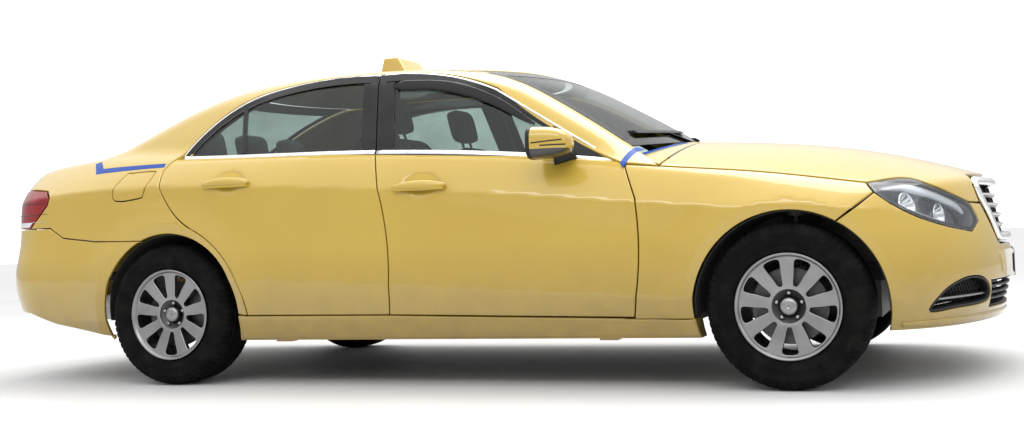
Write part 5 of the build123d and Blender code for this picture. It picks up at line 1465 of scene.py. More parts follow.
def add_cowl():
    """Painted panels between bonnet and windscreen, parted for the bonnet's hinge arms, with a blue edge."""
    top = from_top(lower)
    across = np.linspace(COWL_MIDDLE_HALF, -COWL_MIDDLE_HALF, 13)
    middle = [(screen_foot_x(y), y) for y in across]
    middle += [(bonnet_rear_x(y) - SHUT_GAP, y) for y in across[::-1]]
    skin("skin_cowl_middle", "body", [middle], top, YELLOW)
    inner_y, outer_y = COWL_SIDE_SPAN
    rear = [(screen_foot_x(y), y) for y in np.linspace(-inner_y, -outer_y, 17)]
    front = [(bonnet_rear_x(y) - SHUT_GAP, y) for y in np.linspace(-BONNET_HALF, -inner_y, 17)]
    skin("skin_cowl_side", BODY_PAIR, [rear + COWL_CORNER[::-1] + front], top, YELLOW)
    inner = [(x + COWL_STRIPE_IN, y) for x, y in rear]
    outer = [(x + COWL_STRIPE_IN + COWL_STRIPE_WIDTH, y) for x, y in rear]
    skin("cowl_stripe", BODY_PAIR, [inner + outer[::-1]], top, STRIPE, lift=STRIPE_LIFT, thick=2.0,
         edge=0.3, grid=12.0)


add_panels()
add_cowl()


# Windows


def front_window(drop):
    """The upper part of the front door, in side view, its foot lowered by drop."""
    return [
        *belt_run(FRONT_CORNER[0], SPLIT_BELT[0], rise=-drop),
        *arc(SPLIT_TOP, FRONT_ROOF, FRONT_BEND),
    ]


def rear_window_loop(drop):
    """The upper part of the rear door, in side view, its foot lowered by drop."""
    return [
        *belt_run(SPLIT_BELT[0], REAR_CORNER[0], rise=-drop),
        *rear_window_top(),
    ]


FRAME_WIDTH, BELT_DROP = 30.0, 18.0
SPLIT_PANEL_FRONT, SPLIT_PANEL_REAR = 84.0, 76.0
DEFLECTOR, DEFLECTOR_WIDTH = [(-190, 1338), (60, 1318), (290, 1243), (520, 1112)], 54.0


def clear_of_split(loop, width):
    """A window loop held a width ahead of the split between the doors, or behind it for a negative width."""
    (x0, z0), (x1, z1) = SPLIT_TOP, SPLIT_BELT
    kept = []
    for x, z in loop:
        edge = x0 + (x1 - x0) * (z - z0) / (z1 - z0) + width
        kept.append((max(x, edge) if width > 0 else min(x, edge), z))
    return kept


DIVIDER = [(-920, 1050), (-978, 1240), (-1000, 1300)]
BRIGHT_STEP, BRIGHT_IN, BELT_BRIGHT_RISE = 18.0, 8.0, 6.0
BORDER_WIDTH, BORDER_GAP, PANE_OVERLAP = 34.0, 3.0, 4.0
SCREEN_EDGE = [(-545, 1398), (-700, 994), (-640, 1000), (-420, 1018), (-200, 1034)]
REAR_SCREEN_EDGE = [(-470, 1395), (-590, 1088), (-300, 1098)]


def add_windows():
    """Door frames, panes, bright edges, windscreen and rear window."""
    side = from_side(upper)
    doors = (
        ("front", FRONT_DOORS, front_window, SPLIT_PANEL_FRONT, ("glass_fr", "glass_fl")),
        ("rear", REAR_DOORS, rear_window_loop, -SPLIT_PANEL_REAR, ("glass_rr", "glass_rl")),
    )
    for name, bodies, outline, split_width, panes in doors:
        frame_loop = grown(outline(0.0), -SHUT_GAP / 2)
        opening = clear_of_split(grown(tidy(outline(BELT_DROP), 20), -FRAME_WIDTH), split_width)
        skin(name + "_door_frame", bodies, [frame_loop, opening], side, GLOSS_BLACK,
             lift=2.0, thick=10.0, edge=3.0)
        pane = grown(opening, PANE_OVERLAP)
        glass = skin(name + "_door_glass", bodies, [pane], side, GLASS,
                     lift=-3.0, thick=4.0, edge=1.0)
        for obj, node_name in zip(glass, panes):
            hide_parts(node_name)
    front_top = [FRONT_CORNER, *arc(FRONT_BEND, FRONT_ROOF, SPLIT_TOP)]
    rear_top = [*arc(SPLIT_TOP, REAR_ROOF, REAR_BEND), *arc(REAR_BEND, REAR_CURVE, REAR_CORNER)[1:]]
    for name, bodies, path in (("front", FRONT_DOORS, front_top), ("rear", REAR_DOORS, rear_top)):
        path = spaced(path, BRIGHT_STEP)
        rail(name + "_window_bright", bodies, shifted(path, BRIGHT_IN), side, CHROME, width=7.0,
             low=1.0, high=7.0)
    shade = bend(DEFLECTOR, 16)
    rail("window_deflector", FRONT_DOORS, shade, side, SMOKED, width=DEFLECTOR_WIDTH, low=-2.0,
         high=9.0, swell=taper)
    ends = (("front", FRONT_DOORS, FRONT_CORNER[0] - 40, SPLIT_BELT[0] + 5),
            ("rear", REAR_DOORS, SPLIT_BELT[0] - 5, REAR_CORNER[0] + 8))
    for name, bodies, x0, x1 in ends:
        rail(name + "_belt_bright", bodies, belt_run(x0, x1, 40, BELT_BRIGHT_RISE), side, CHROME,
             width=21.0, low=-3.0, high=10.0)
    rail("window_divider", REAR_DOORS, bend(DIVIDER), side, GLOSS_BLACK, width=26.0,
         low=-6.0, high=3.0)
    panes = (
        ("windscreen", SCREEN_EDGE, from_front(upper)),
        ("rear_window", REAR_SCREEN_EDGE, from_back(upper)),
    )
    for name, half, lay in panes:
        loop = tidy(mirrored(half), 30.0)
        inner = grown(loop, -BORDER_WIDTH)
        skin(name + "_border", "body", [grown(loop, -BORDER_GAP), inner], lay, GLOSS_BLACK,
             lift=2.0, thick=4.0, edge=1.5)
        pane = grown(inner, BORDER_GAP)
        glass = skin(name + "_glass", "body", [pane], lay, GLASS,
                     lift=1.0, thick=4.0, edge=1.0, grid=24.0)
        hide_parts(name)


add_windows()

# Lamps and grille


def tail_lamp_outline():
    """The lamp on the rear wing, wrapped round the tail."""
    side = [TAIL_UNDER, TAIL_CHEEK, TAIL_TIP, TAIL_SHOULDER, TAIL_TOP]
    back = [(-BOOT_HALF - 3, LAMP_HIGH_Z), (-BOOT_HALF - 3, LAMP_LOW_Z)]
    return flat_tail(on_side(side, lower)) + flat_tail(on_back(back))


def lid_lamp_outline():
    """The lamp on the boot lid, wrapped round the tail."""
    corners = [
        (-BOOT_HALF + 3, LAMP_LOW_Z + 3),
        (-BOOT_HALF + 3, LAMP_HIGH_Z - 3),
        (-LID_LAMP_Y - 4, LAMP_HIGH_Z - 3),
        (-LID_LAMP_Y - 4, LAMP_LOW_Z + 3),
    ]
    return flat_tail(on_back(tidy(corners, 25.0)))


def level_cut(loop, z0, z1, inset):
    """The part of a wrapped loop between two heights, drawn in by an inset."""
    inner = grown(loop, -inset)
    return [(u, min(max(v, z0), z1)) for u, v in tidy(inner, 6.0)]


# Level bands on the tail lamps: heights above the lamp's foot, and finish
LAMP_BANDS = ((8, 32, LAMP_PALE), (62, 70, LAMP_DEEP), (118, 126, LAMP_DEEP))
LAMP_BAND_IN = 9.0


def add_tail_lamps():
    """Lamps on the rear wings and the boot lid, with level bands."""
    tail = round_tail(lower)
    lamps = (
        ("tail_lamp", BODY_PAIR, tail_lamp_outline(), "tail_lamps"),
        ("lid_lamp", ("boot_lid", "boot_lid"), lid_lamp_outline(), "lid_lamps"),
    )
    for name, bodies, loop, node_name in lamps:
        for obj in skin(name, bodies, [grown(loop, -SHUT_GAP / 2)], tail, RED_LENS, lift=4.0,
                        thick=18.0, edge=4.0, grid=10.0):
            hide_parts(node_name)
        for i, (z0, z1, finish) in enumerate(LAMP_BANDS):
            band = level_cut(loop, LAMP_LOW_Z + z0, LAMP_LOW_Z + z1, LAMP_BAND_IN)
            skin(f"{name}_band_{i}", bodies, [band], tail, finish, lift=5.2, thick=3.0,
                 edge=0.8, grid=10.0)


# A bulb: radius and height above the bottom of its dish
BULB = [(0.6, 34), (7, 30), (9, 20), (9, 0), (12, -5), (0.6, -5)]


def bowl(name, bodies, at, aim, radius, depth):
    """A polished reflector: a turned dish with a rolled rim and a bulb in the middle."""
    inside = [(radius * t, -depth * (1 - t * t)) for t in np.linspace(0.12, 1.0, 12)]
    rim = [(radius + 3, 2.0), (radius + 6, 0.0), (radius + 6, -6.0)]
    outside = [(radius * t + 3, -depth * (1 - t * t) - 4) for t in np.linspace(0.96, 0.12, 8)]
    turned(name, bodies, inside + rim + outside, at, aim, CHROME, steps=48)
    bulb = [(r, h - depth) for r, h in BULB]
    turned(name + "_bulb", bodies, bulb, at, aim, LENS_FROST, steps=24)


# Reflectors: name, place on the lamp in side view, depth below the skin, radius, depth of the dish
REFLECTORS = (
    ("low_beam", (2062, 716), 62.0, 46.0, 42.0),
    ("high_beam", (2190, 668), 66.0, 44.0, 40.0),
)
REFLECTOR_FORWARD = 30.0
BROW_LINE = [(1960, 790), (2045, 790), (2140, 755), (2235, 705), (2270, 668)]
FOOT_LINE = [(2010, 716), (2095, 672), (2190, 632), (2262, 612)]


def add_headlamps():
    """Headlamps: a clear lens over a grey pan with trims and two reflectors."""
    nose = round_nose(lower)
    loop = headlamp_outline()
    lens = skin("headlamp_lens", BODY_PAIR, [grown(loop, -SHUT_GAP / 2)], nose, LENS,
                lift=3.5, thick=4.0, edge=2.0, grid=12.0)
    for obj in lens:
        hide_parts("headlamps")
    tray("headlamp_pan", BODY_PAIR, grown(loop, -5.0), nose, LAMP_GREY, depth=95.0)
    rail("headlamp_edge", BODY_PAIR, grown(loop, -9.0), nose, LAMP_DARK, width=13.0,
         low=-14.0, high=-1.5, loop=True)
    brow = flat_nose(on_side(bend(BROW_LINE), lower))
    rail("headlamp_brow", BODY_PAIR, brow, nose, LAMP_PALE, width=30.0, low=-34.0, high=-12.0,
         swell=spindle)
    foot = flat_nose(on_side(bend(FOOT_LINE), lower))
    rail("headlamp_foot", BODY_PAIR, foot, nose, CHROME, width=20.0, low=-46.0, high=-14.0,
         swell=spindle)
    for name, spot, sunk, radius, depth in REFLECTORS:
        at, out = surface(np.array(flat_nose(on_side([spot], lower))), nose)
        aim = Vector(out[0]) * 0.75 + Vector((0.6, 0.0, 0.0))
        centre = at[0] - out[0] * sunk + np.array(aim.normalized()) * REFLECTOR_FORWARD
        bowl("headlamp_" + name, BODY_PAIR, centre, aim, radius, depth)


# Heights of the slats, places of the posts and heights along a post, wrapped round the nose
SLAT_LEVELS = np.linspace(574, 786, 6)
POST_PLACES, POST_LEVELS = np.linspace(-300, 300, 7), np.linspace(560, 800, 25)
INTAKE_LEVELS = (312, 338, 366)
WIRE_ANGLES, WIRE_STEP, WIRE_DEEP = (math.radians(60), math.radians(-60)), 7.0, 7.0
FOG_BLADE = [(2146, 334), (2335, 340)]
LIP_Z, LIP_REACH = 250.0, 1.2


def runs_inside(loop, z, step=12.0):
    """Level lines at a height, where they lie inside a loop."""
    low, high = np.min(np.array(loop)[:, 0]), np.max(np.array(loop)[:, 0])
    points = np.array([(u, z) for u in np.arange(low - step, high + step, step)])
    found, run = [], []
    for p, inside in zip(points, holds(loop, points)):
        if inside:
            run.append(tuple(p))
        elif run:
            found.append(run)
            run = []
    return [run for run in found if len(run) > 2]


def add_grille():
    """The grille: a bright rim round slats with bright edges and upright posts."""
    nose = round_nose(lower)
    loop = flat_nose(on_front(tidy(grille_outline(), 12.0)))
    rims = rail("grille_rim", "body", grown(loop, -15.0), nose, CHROME, width=32.0, low=-16.0,
                high=15.0, loop=True)
    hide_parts("grille")
    tray("grille_pan", "body", grown(loop, -8.0), nose, BLACK, depth=55.0)
    inner = grown(loop, -26.0)
    levels = [run for z in SLAT_LEVELS for run in runs_inside(inner, z)]
    rails("grille_slats", "body", levels, nose, GLOSS_BLACK, width=24.0, low=-46.0,
          high=-12.0)
    rails("grille_edges", "body", levels, nose, CHROME, width=9.0, low=-16.0, high=-6.0)
    posts = []
    for u in POST_PLACES:
        column = [(u, z) for z in POST_LEVELS]
        posts.append([p for p, keep in zip(column, holds(inner, np.array(column))) if keep])
    rails("grille_posts", "body", posts, nose, BLACK, width=10.0, low=-52.0, high=-22.0)


def lattice(name, bodies, loop, lay, spacing, sunk):
    """A mesh of crossed wires inside a loop."""
    p = np.array(loop)
    middle, reach = p.mean(axis=0), np.ptp(p, axis=0).max()
    wires = []
    for angle in WIRE_ANGLES:
        c, s = math.cos(angle), math.sin(angle)
        way, side = np.array((c, s)), np.array((-s, c))
        for offset in np.arange(-reach, reach, spacing):
            line_points = [middle + side * offset + way * t for t in np.arange(-reach, reach, WIRE_STEP)]
            keep = holds(loop, np.array(line_points))
            wire = [tuple(q) for q, k in zip(line_points, keep) if k]
            if len(wire) > 2:
                wires.append(wire)
    rails(name, bodies, wires, lay, BLACK, width=4.0, low=-sunk, high=-sunk + WIRE_DEEP)


def add_bumper_openings():
    """Wires, slats and blades in the bumper's openings, and its lower lip."""
    nose = round_nose(lower)
    fog = fog_outline()
    for obj in tray("fog_pan", BODY_PAIR, fog, nose, BLACK, depth=52.0):
        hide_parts("bumper_grilles")
    lattice("fog_wire", BODY_PAIR, grown(fog, -8.0), nose, spacing=17.0, sunk=46.0)
    rail("fog_rim", BODY_PAIR, grown(fog, -4.0), nose, BLACK, width=9.0, low=-22.0,
         high=1.0, loop=True)
    blade = flat_nose(on_side(spaced(FOG_BLADE, 12.0), lower))
    rail("fog_blade", BODY_PAIR, blade, nose, ALLOY, width=11.0, low=-34.0, high=-12.0)
    intake = intake_outline()
    tray("intake_pan", "body", intake, nose, BLACK, depth=60.0)
    slats = [run for z in INTAKE_LEVELS for run in runs_inside(grown(intake, -6.0), z)]
    rails("intake_slats", "body", slats, nose, BLACK, width=12.0, low=-40.0, high=-10.0)
    lip = [(WRAP_R * a, LIP_Z) for a in np.linspace(-LIP_REACH, LIP_REACH, 110)]
    rail("bumper_lip", "body", lip, nose, YELLOW, width=34.0, low=-6.0, high=13.0, swell=blade_end)


add_tail_lamps()
add_headlamps()
add_grille()
add_bumper_openings()


# Wheels

SPOKES = 9
FACE_R, FACE_Y = (62.0, 80.0, 135.0, 196.0), (80.0, 84.0, 89.0, 93.0)
POCKET_HALF = [(82, 0), (88, 9), (128, 19), (166, 30), (180, 30), (186, 17), (187, 0)]
RIM_FACE_R, HUB_HOLE_R, BOLTS, BOLT_CIRCLE_R, BOLT_SEAT = 196.0, 65.0, 5, 52.0, 58.0
BARREL = [
    (190, 86), (195, 94), (201, 102), (206, 105), (210, 102), (208, 94), (198, 86),
    (196, 60), (196, -90), (212, -96), (212, -104), (188, -104), (186, 0), (188, 70),
]
WELL = [(6, 52), (44, 52), (46, 60), (62, 60), (67, 74), (72, 74), (72, 44), (6, 44)]
CAP = [(0.5, 90), (18, 89), (30, 86), (35, 80), (35, 52), (0.5, 52)]
BOLT = [(0.5, 15), (5, 14), (9, 11), (10, 0), (0.5, 0)]
TREAD_BLOCKS, BLOCK_STEPS = 72, 5
BLOCK_INNER_R, BLOCK_INNER_H, BLOCK_CUT = 300.0, 61.0, 5.0
SIDEWALL = [
    (199, 84), (210, 92), (218, 98), (232, 104), (244, 107), (246, 109.5), (249, 108.5),
    (262, 111.5), (274, 112.5), (284, 111.8), (286, 113), (289, 111.2), (298, 108),
]
SHOULDER = [(305, 105), (312, 100), (318, 93), (322, 84), (325, 74), (326, 66)]
CROWN = [(326.2, 61), (320, 60), (320, 53), (326.5, 52), (327, 27), (321, 26), (321, 19), (327, 18), (327, 0)]


def wheel_face(axle_x, track):
    """Wheel face coordinates: u forward and v up from the wheel's centre."""

    def laid(u, v):
        out = np.interp(np.hypot(u, v), FACE_R, FACE_Y)
        return stack(axle_x + u, -track / 2 - out, TYRE_R + v)

    return laid


def pockets():
    """The openings between the spokes; one spoke points straight up."""
    half = [(r, -t) for r, t in POCKET_HALF] + [(r, t) for r, t in reversed(POCKET_HALF[1:-1])]
    shape = closed(half, 4)
    loops = []
    for i in range(SPOKES):
        a = math.pi / 2 + (i + 0.5) * 2 * math.pi / SPOKES
        c, s = math.cos(a), math.sin(a)
        loops.append([(r * c - t * s, r * s + t * c) for r, t in shape])
    return loops


def add_rim(name, bodies, axle_x, track, nodes):
    """An alloy rim: spoked face, barrel, well, cap and bolts."""
    centre, axis = (axle_x, -track / 2, TYRE_R), (0, -1, 0)
    face = [ring_points(RIM_FACE_R, 120), ring_points(HUB_HOLE_R, 60), *pockets()]
    spokes = skin(name + "_spokes", bodies, face, wheel_face(axle_x, track), ALLOY, lift=0.0,
                  thick=20.0, edge=4.0, grid=9.0)
    for obj, node_name in zip(spokes, nodes):
        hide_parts(node_name)
    turned(name + "_barrel", bodies, BARREL, centre, axis, ALLOY, steps=96)
    turned(name + "_well", bodies, WELL, centre, axis, IRON, steps=64)
    turned(name + "_cap", bodies, CAP, centre, axis, ALLOY, steps=48)
    for i in range(BOLTS):
        a = math.pi / 2 + i * 2 * math.pi / BOLTS
        u, v = BOLT_CIRCLE_R * math.cos(a), BOLT_CIRCLE_R * math.sin(a)
        at = (axle_x + u, -track / 2 - BOLT_SEAT, TYRE_R + v)
        turned(f"{name}_bolt_{i}", bodies, BOLT, at, axis, STEEL, steps=6)


def add_tyre(name, bodies, axle_x, track, nodes):
    """A tyre with ribbed sidewalls, shoulder blocks and four tread grooves."""
    outer = SIDEWALL + SHOULDER + CROWN
    profile = outer + [(r, -h) for r, h in reversed(outer[:-1])]
    section = np.array(profile, float)
    block = np.array([r > BLOCK_INNER_R and abs(h) > BLOCK_INNER_H for r, h in profile])
    ways = -outward(profile)
    points, count = [], TREAD_BLOCKS * BLOCK_STEPS
    for k in range(count):
        a = 2 * math.pi * k / count
        cut = BLOCK_CUT if k % BLOCK_STEPS == 0 else 0.0
        sunk = section + ways * (cut * block)[:, None]
        x, z = sunk[:, 0] * math.cos(a), sunk[:, 0] * math.sin(a)
        points.append(stack(axle_x + x, -track / 2 - sunk[:, 1], TYRE_R + z))
    faces = band_faces(count, len(profile))
    tyres = closed_pieces(name, bodies, np.concatenate(points), faces, RUBBER)
    for obj, node_name in zip(tyres, nodes):
        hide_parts(node_name)


def add_wheels():
    """Rims and tyres on both axles."""
    axles = (("front", AXLE_FRONT_X, TRACK_FRONT, "f"), ("rear", AXLE_REAR_X, TRACK_REAR, "r"))
    for name, axle_x, track, letter in axles:
        bodies = (name + "_wheel_right", name + "_wheel_left")
        add_rim(name + "_rim", bodies, axle_x, track, (f"rim_{letter}r", f"rim_{letter}l"))
        add_tyre(name + "_tyre", bodies, axle_x, track, (f"tyre_{letter}r", f"tyre_{letter}l"))


add_wheels()


# Handles, mirrors and stripes

MIRROR_X, MIRROR_Y, MIRROR_Z = (588.0, 762.0), (-1036.0, -868.0), (946.0, 1080.0)
MIRROR_MID_Y, MIRROR_MID_Z = sum(MIRROR_Y) / 2, sum(MIRROR_Z) / 2
MIRROR_NOSE, MIRROR_SQUARE, MIRROR_DROOP = 2.6, 0.62, 6.0
# The mirror's rim: its share of the back's width and height, and how far its lip and its glass lie inside
MIRROR_RIM, MIRROR_LIP_IN, MIRROR_GLASS_IN = (0.92, 0.9), 2.0, 14.0
MIRROR_ARM = [(690, 926), (684, 946), (678, 966)]
MIRROR_SAIL = [(560, 960), (885, 936), (720, 1052), (600, 1110)]
GRIP_OVER, GRIP_RISE = 6, 5.0
MIRROR_SLITS = ([(612, 1010), (735, 1019)], [(650, 998), (748, 1000)])


def add_handles():
    """Painted door handles."""
    side = from_side(lower)
    grips = (("front_handle", FRONT_DOORS, FRONT_HANDLE), ("rear_handle", REAR_DOORS, REAR_HANDLE))
    for name, bodies, (x0, x1, z) in grips:
        shares, xs = np.linspace(0, 1, 30), np.linspace(x0 - GRIP_OVER, x1 + GRIP_OVER, 30)
        path = [(x, z + GRIP_RISE * math.sin(math.pi * t)) for t, x in zip(shares, xs)]
        rail(name, bodies, path, side, YELLOW, width=36.0, low=2.0, high=33.0, swell=spindle)


def mirror_size(t):
    """Size of the mirror shell, t from its nose at 0 to its open back at 1, and its half width and height."""
    size = (1 - np.clip(1 - t, 0, 1) ** MIRROR_NOSE) ** (1 / MIRROR_NOSE)
    return size, (MIRROR_Y[1] - MIRROR_Y[0]) / 2 * size, (MIRROR_Z[1] - MIRROR_Z[0]) / 2 * size


def mirror_section(t, count=40):
    """A rounded section of the mirror shell."""
    size, half_y, half_z = mirror_size(t)
    ring = []
    for a in np.linspace(0, 2 * math.pi, count, endpoint=False):
        c, s = (math.copysign(abs(f) ** MIRROR_SQUARE, f) for f in (math.cos(a), math.sin(a)))
        ring.append((MIRROR_MID_Y + half_y * c, MIRROR_MID_Z + half_z * s - MIRROR_DROOP * (1 - size)))
    return ring


def mirror_side(u, v):
    """The outer side of the right mirror shell: u is x, v is z."""
    size, half_y, half_z = mirror_size((MIRROR_X[1] - u) / (MIRROR_X[1] - MIRROR_X[0]))
    rise = np.abs(v - MIRROR_MID_Z + MIRROR_DROOP * (1 - size)) / np.maximum(half_z, 1.0)
    share = (1 - np.clip(rise, 0, 1) ** (2 / MIRROR_SQUARE)) ** (MIRROR_SQUARE / 2)
    return stack(u, MIRROR_MID_Y - half_y * share, v)


def add_mirrors():
    """Mirror shells: painted above, black below, with a framed glass at the back and an arm to the door."""
    steps = [*np.linspace(0.02, 0.9, 16), 0.97, 1.0]
    rings = [(MIRROR_X[1] - (MIRROR_X[1] - MIRROR_X[0]) * t, mirror_section(t)) for t in steps]
    back = rings[-1][1]
    cy, cz = MIRROR_MID_Y, MIRROR_MID_Z
    rim = [(cy + (y - cy) * MIRROR_RIM[0], cz + (z - cz) * MIRROR_RIM[1]) for y, z in back]
    rings += [(MIRROR_X[0] + MIRROR_LIP_IN, rim), (MIRROR_X[0] + MIRROR_GLASS_IN, rim)]
    placed = [[(x, y, z) for y, z in ring] for x, ring in rings]
    shells = stacked("mirror_shell", FRONT_DOORS, placed, [MIRROR_PAINT, BLACK, MIRROR])
    rim_x, middle_x = (MIRROR_X[0] + MIRROR_GLASS_IN - 1) * MM, sum(MIRROR_X) / 2 * MM
    for obj, node_name in zip(shells, ("mirror_fr", "mirror_fl")):
        for face in obj.data.polygons:
            face.material_index = 1 if face.center.x < rim_x else 0
            if len(face.vertices) > 4 and face.center.x < middle_x:
                face.material_index = 2
        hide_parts(node_name)
    slits = [spaced(slit, 8.0) for slit in MIRROR_SLITS]
    rails("mirror_slits", FRONT_DOORS, slits, mirror_side, BLACK, width=6.0, low=-4.0,
          high=1.2)
    side = from_side(upper)
    rail("mirror_arm", FRONT_DOORS, spaced(MIRROR_ARM, 6.0), side, BLACK, width=92.0,
         low=-20.0, high=78.0)
    sail = grown(tidy(MIRROR_SAIL, 20.0), -4.0)
    skin("mirror_sail", FRONT_DOORS, [sail], side, BLACK, lift=3.0, thick=8.0, edge=3.0,
         grid=12.0)


QUARTER_STRIPE = [
    (-1825, -730, 1062), (-1754, -811, 1004), (-1330, -840, 1016),
    (-1334, -822, 1036), (-1732, -784, 1031), (-1793, -723, 1071),
]
PILLAR_STRIPE = [(924, -832, 921), (962, -705, 990), (992, -700, 978), (942, -850, 897)]


def add_stripes():
    """Bare blue livery stripes on the rear wing and at the foot of the windscreen pillar."""
    over = over_shoulder(whole)
    for name, corners in (("quarter_stripe", QUARTER_STRIPE), ("pillar_stripe", PILLAR_STRIPE)):
        loop = tidy(flat_shoulder(corners), 14.0)
        skin(name, BODY_PAIR, [loop], over, STRIPE, lift=STRIPE_LIFT, thick=2.0, edge=0.3,
             grid=14.0)


add_handles()
add_mirrors()
add_stripes()

# Roof sign, plates and hinge arms

SIGN_FOOT_X, SIGN_TOP_X, SIGN_FOOT_Y, SIGN_TOP_Y, SIGN_TOP_Z = (-560, -405), (-545, -462), 135, 118, 1565
SIGN_BASE_SUNK, SIGN_BASE_RISE, SIGN_BASE_OUT, SIGN_OVERLAP = 6.0, 9.0, 10.0, 2.0
SIGN_CORNER, SIGN_ROUND, SIGN_SHARE, SIGN_LEVELS = 12.0, 7.0, 0.94, 8
FRONT_PLATE, REAR_PLATE = (2440.0, 400.0, 510.0), (-2404.0, 775.0, 885.0)
PLATE_HALF, PLATE_IN = 260.0, 6.0
BONNET_ARM, BONNET_ARM_Y = [(1006, 968), (1100, 968), (1185, 971), (1212, 988), (1220, 1006)], 250
BOOT_ARM = [(-1710, 985), (-1770, 785), (-1905, 695), (-2010, 805), (-2050, 985), (-2050, 1062)]
BOOT_ARM_Y = 480
ARM_WIDE, ARM_TALL = 20.0, 22.0


def round_box(half_x, half_y, corner, count=7):
    """A rectangle with round corners about the origin."""
    ring = []
    for quarter, (sx, sy) in enumerate(((1, 1), (-1, 1), (-1, -1), (1, -1))):
        for a in np.linspace(quarter, quarter + 1, count) * math.pi / 2:
            x, y = sx * (half_x - corner), sy * (half_y - corner)
            ring.append((x + corner * math.cos(a), y + corner * math.sin(a)))
    return ring


def sign_ring(share, z, grow=0.0):
    """A level section of the sign, share 0 at its foot and 1 at its top; z gives heights."""
    x0, x1 = (a + (b - a) * share for a, b in zip(SIGN_FOOT_X, SIGN_TOP_X))
    half_y = SIGN_FOOT_Y + (SIGN_TOP_Y - SIGN_FOOT_Y) * share
    flat = round_box((x1 - x0) / 2 + grow, half_y + grow, SIGN_CORNER)
    flat = [(x + (x0 + x1) / 2, y) for x, y in flat]
    return [(x, y, z(x, y)) for x, y in flat]


def blend_up(x, y, share):
    """A height between the sign's foot on the roof and its level top."""
    foot = roof_height(x, y) + SIGN_BASE_RISE - SIGN_OVERLAP
    return foot + (SIGN_TOP_Z - foot) * share


def add_sign():
    """The blank roof sign: a rounded body on a black foot that follows the roof."""
    base = [sign_ring(0.0, lambda x, y: roof_height(x, y) - SIGN_BASE_SUNK, SIGN_BASE_OUT)]
    base += [sign_ring(0.0, lambda x, y: roof_height(x, y) + SIGN_BASE_RISE, SIGN_BASE_OUT)]
    stacked("sign_foot", "body", base, BLACK)
    rings = []
    for share in np.linspace(0.0, SIGN_SHARE, SIGN_LEVELS):
        rings.append(sign_ring(share, lambda x, y: blend_up(x, y, share)))
    for a in np.radians((30, 60, 85)):
        inset = SIGN_ROUND * (1 - math.cos(a))
        share = SIGN_SHARE + (1 - SIGN_SHARE) * math.sin(a)
        rings.append(sign_ring(share, lambda x, y: blend_up(x, y, share), -inset))
    sign = stacked("sign_body", "body", rings, YELLOW)
    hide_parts("roof_sign")


def add_plates():
    """Black holders round the blank plates."""
    plates = (("front_plate", "body", FRONT_PLATE), ("rear_plate", "boot_lid", REAR_PLATE))
    for name, body, (x, z0, z1) in plates:
        y, low, high = PLATE_HALF - PLATE_IN, z0 + PLATE_IN, z1 - PLATE_IN
        corners = [(-y, low), (y, low), (y, high), (-y, high)]
        rail(name + "_holder", body, tidy(corners, 20.0), upright(x), BLACK, width=14.0,
             low=-8.0, high=3.0, loop=True)


def add_arms():
    """Bent hinge arms of the bonnet and the boot lid."""
    arms = (("bonnet", BONNET_ARM, BONNET_ARM_Y), ("boot_lid", BOOT_ARM, BOOT_ARM_Y))
    for body, path, y in arms:
        p = np.array(bend(path, 6))
        along = np.gradient(p, axis=0)
        along /= np.linalg.norm(along, axis=1, keepdims=True)
        side = stack(-along[:, 1], along[:, 0])
        section = round_box(ARM_WIDE / 2, ARM_TALL / 2, 4.0, 3)
        rings = []
        for (x, z), (sx, sz) in zip(p, side):
            rings.append([(x + sx * v, -y + u, z + sz * v) for u, v in section])
        stacked(body + "_arm", (body, body), rings, IRON)


# Seats: name, node, size, place, lean in degrees, whether channels are sewn in, body or pair of bodies
PAD_CUTS, PAD_SQUARE = 22, 5.0
CROWN_RISE, CHANNEL_DEPTH, CHANNEL_WIDTH = 12.0, 7.0, 0.05
PADS = (
    ("front_seat_base", "front_seats", (516, 474, 150), (140, -380, 440), 0, True, BODY_PAIR),
    ("front_seat_back", "front_seats", (126, 474, 630), (-190, -380, 810), 20, True, BODY_PAIR),
    ("front_head_rest", "front_seats", (84, 256, 172), (-345, -380, 1235), 14, False, BODY_PAIR),
    ("bench_base", "rear_seat", (480, 1130, 130), (-945, 0, 582), 0, True, "body"),
    ("bench_lip", "rear_seat", (176, 1130, 84), (-796, 0, 480), 0, False, "body"),
    ("bench_back", "rear_seat", (126, 1130, 500), (-1335, 0, 860), 16, True, "body"),
    ("bench_rest_side", "rear_seat", (76, 246, 152), (-1425, -380, 1150), 12, False, BODY_PAIR),
    ("bench_rest_middle", "rear_seat", (76, 246, 152), (-1425, 0, 1150), 12, False, "body"),
)
CHANNELS = (-0.56, -0.2, 0.2, 0.56)
STALK = [(0.6, -80), (7, -78), (7, 78), (0.6, 80)]
STALK_AT, STALK_OUT, STALK_LEAN = (-322, -380, 1130), 50, 18


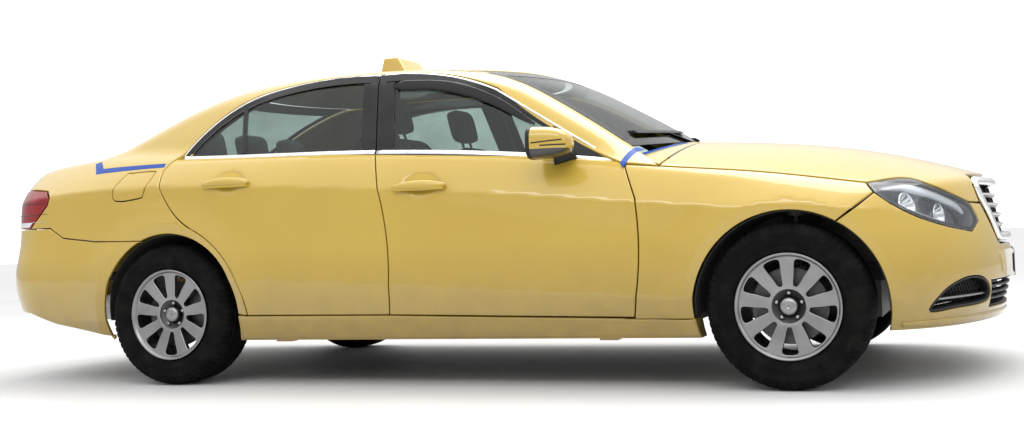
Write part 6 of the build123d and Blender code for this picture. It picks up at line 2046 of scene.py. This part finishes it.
def pad_points(size, lean, channels):
    """A crowned pad: a rounded block whose broad face swells between its sewn channels."""
    block = bmesh.new()
    bmesh.ops.create_cube(block, size=2.0)
    bmesh.ops.subdivide_edges(block, edges=block.edges[:], cuts=PAD_CUTS, use_grid_fill=True)
    cube = np.array([tuple(v.co) for v in block.verts])
    faces = [tuple(v.index for v in f.verts) for f in block.faces]
    block.free()
    round_off = np.sum(np.abs(cube) ** PAD_SQUARE, axis=1, keepdims=True) ** (1 / PAD_SQUARE)
    unit = cube / round_off
    p = unit * np.array(size) / 2
    thin = int(np.argmin(size))
    wide = [i for i in range(3) if i != thin]
    swell = CROWN_RISE * np.prod(1 - unit[:, wide] ** 2, axis=1)
    if channels:
        run = unit[:, 1]
        for at in CHANNELS:
            swell -= CHANNEL_DEPTH * np.exp(-(((run - at) / CHANNEL_WIDTH) ** 2)) * np.abs(unit[:, thin])
    p[:, thin] += np.sign(unit[:, thin]) * (swell - CROWN_RISE) * (np.abs(unit[:, thin]) > 0.5)
    a = math.radians(lean)
    turn = np.array(((math.cos(a), 0, -math.sin(a)), (0, 1, 0), (math.sin(a), 0, math.cos(a))))
    return p @ turn.T, faces


def add_seats():
    """Padded seats in the places of the plain solids, with stalks under the front head rests."""
    for name, node_name, size, at, lean, channels, bodies in PADS:
        points, faces = pad_points(size, lean, channels)
        for obj in closed_pieces(name, bodies, points + np.array(at), faces, SEAT):
            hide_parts(node_name)
    a = math.radians(STALK_LEAN)
    for name, out in (("rest_stalk_in", STALK_OUT), ("rest_stalk_out", -STALK_OUT)):
        at = np.array(STALK_AT) + np.array((0, out, 0))
        turned(name, BODY_PAIR, STALK, at, (-math.sin(a), 0, math.cos(a)), STEEL, steps=16)


add_sign()
add_plates()
add_arms()
add_seats()

NODE_FINISH = {
    YELLOW: ("sills", "rear_deck"),
    DOOR_SHELL: ("door_fr", "door_fl", "door_rr", "door_rl"),
    BLACK: ("pillars", "cowl", "wipers"),
    STEEL: ("door_hinges", "exhaust"),
    IRON: ("knuckle_right", "knuckle_left", "rear_suspension", "front_suspension", "engine"),
    UNDER: ("wheel_liners", "floor_pan"),
    CABIN: ("dashboard", "steering_wheel"),
    WHITE: ("front_plate", "rear_plate"),
}


def dress_nodes():
    """A finish for every CAD node that shows."""
    for finish, names in NODE_FINISH.items():
        for name in names:
            slots = NODES[name].data.materials
            slots.clear()
            slots.append(finish)


dress_nodes()

bpy.context.scene.view_settings.view_transform = "Standard"
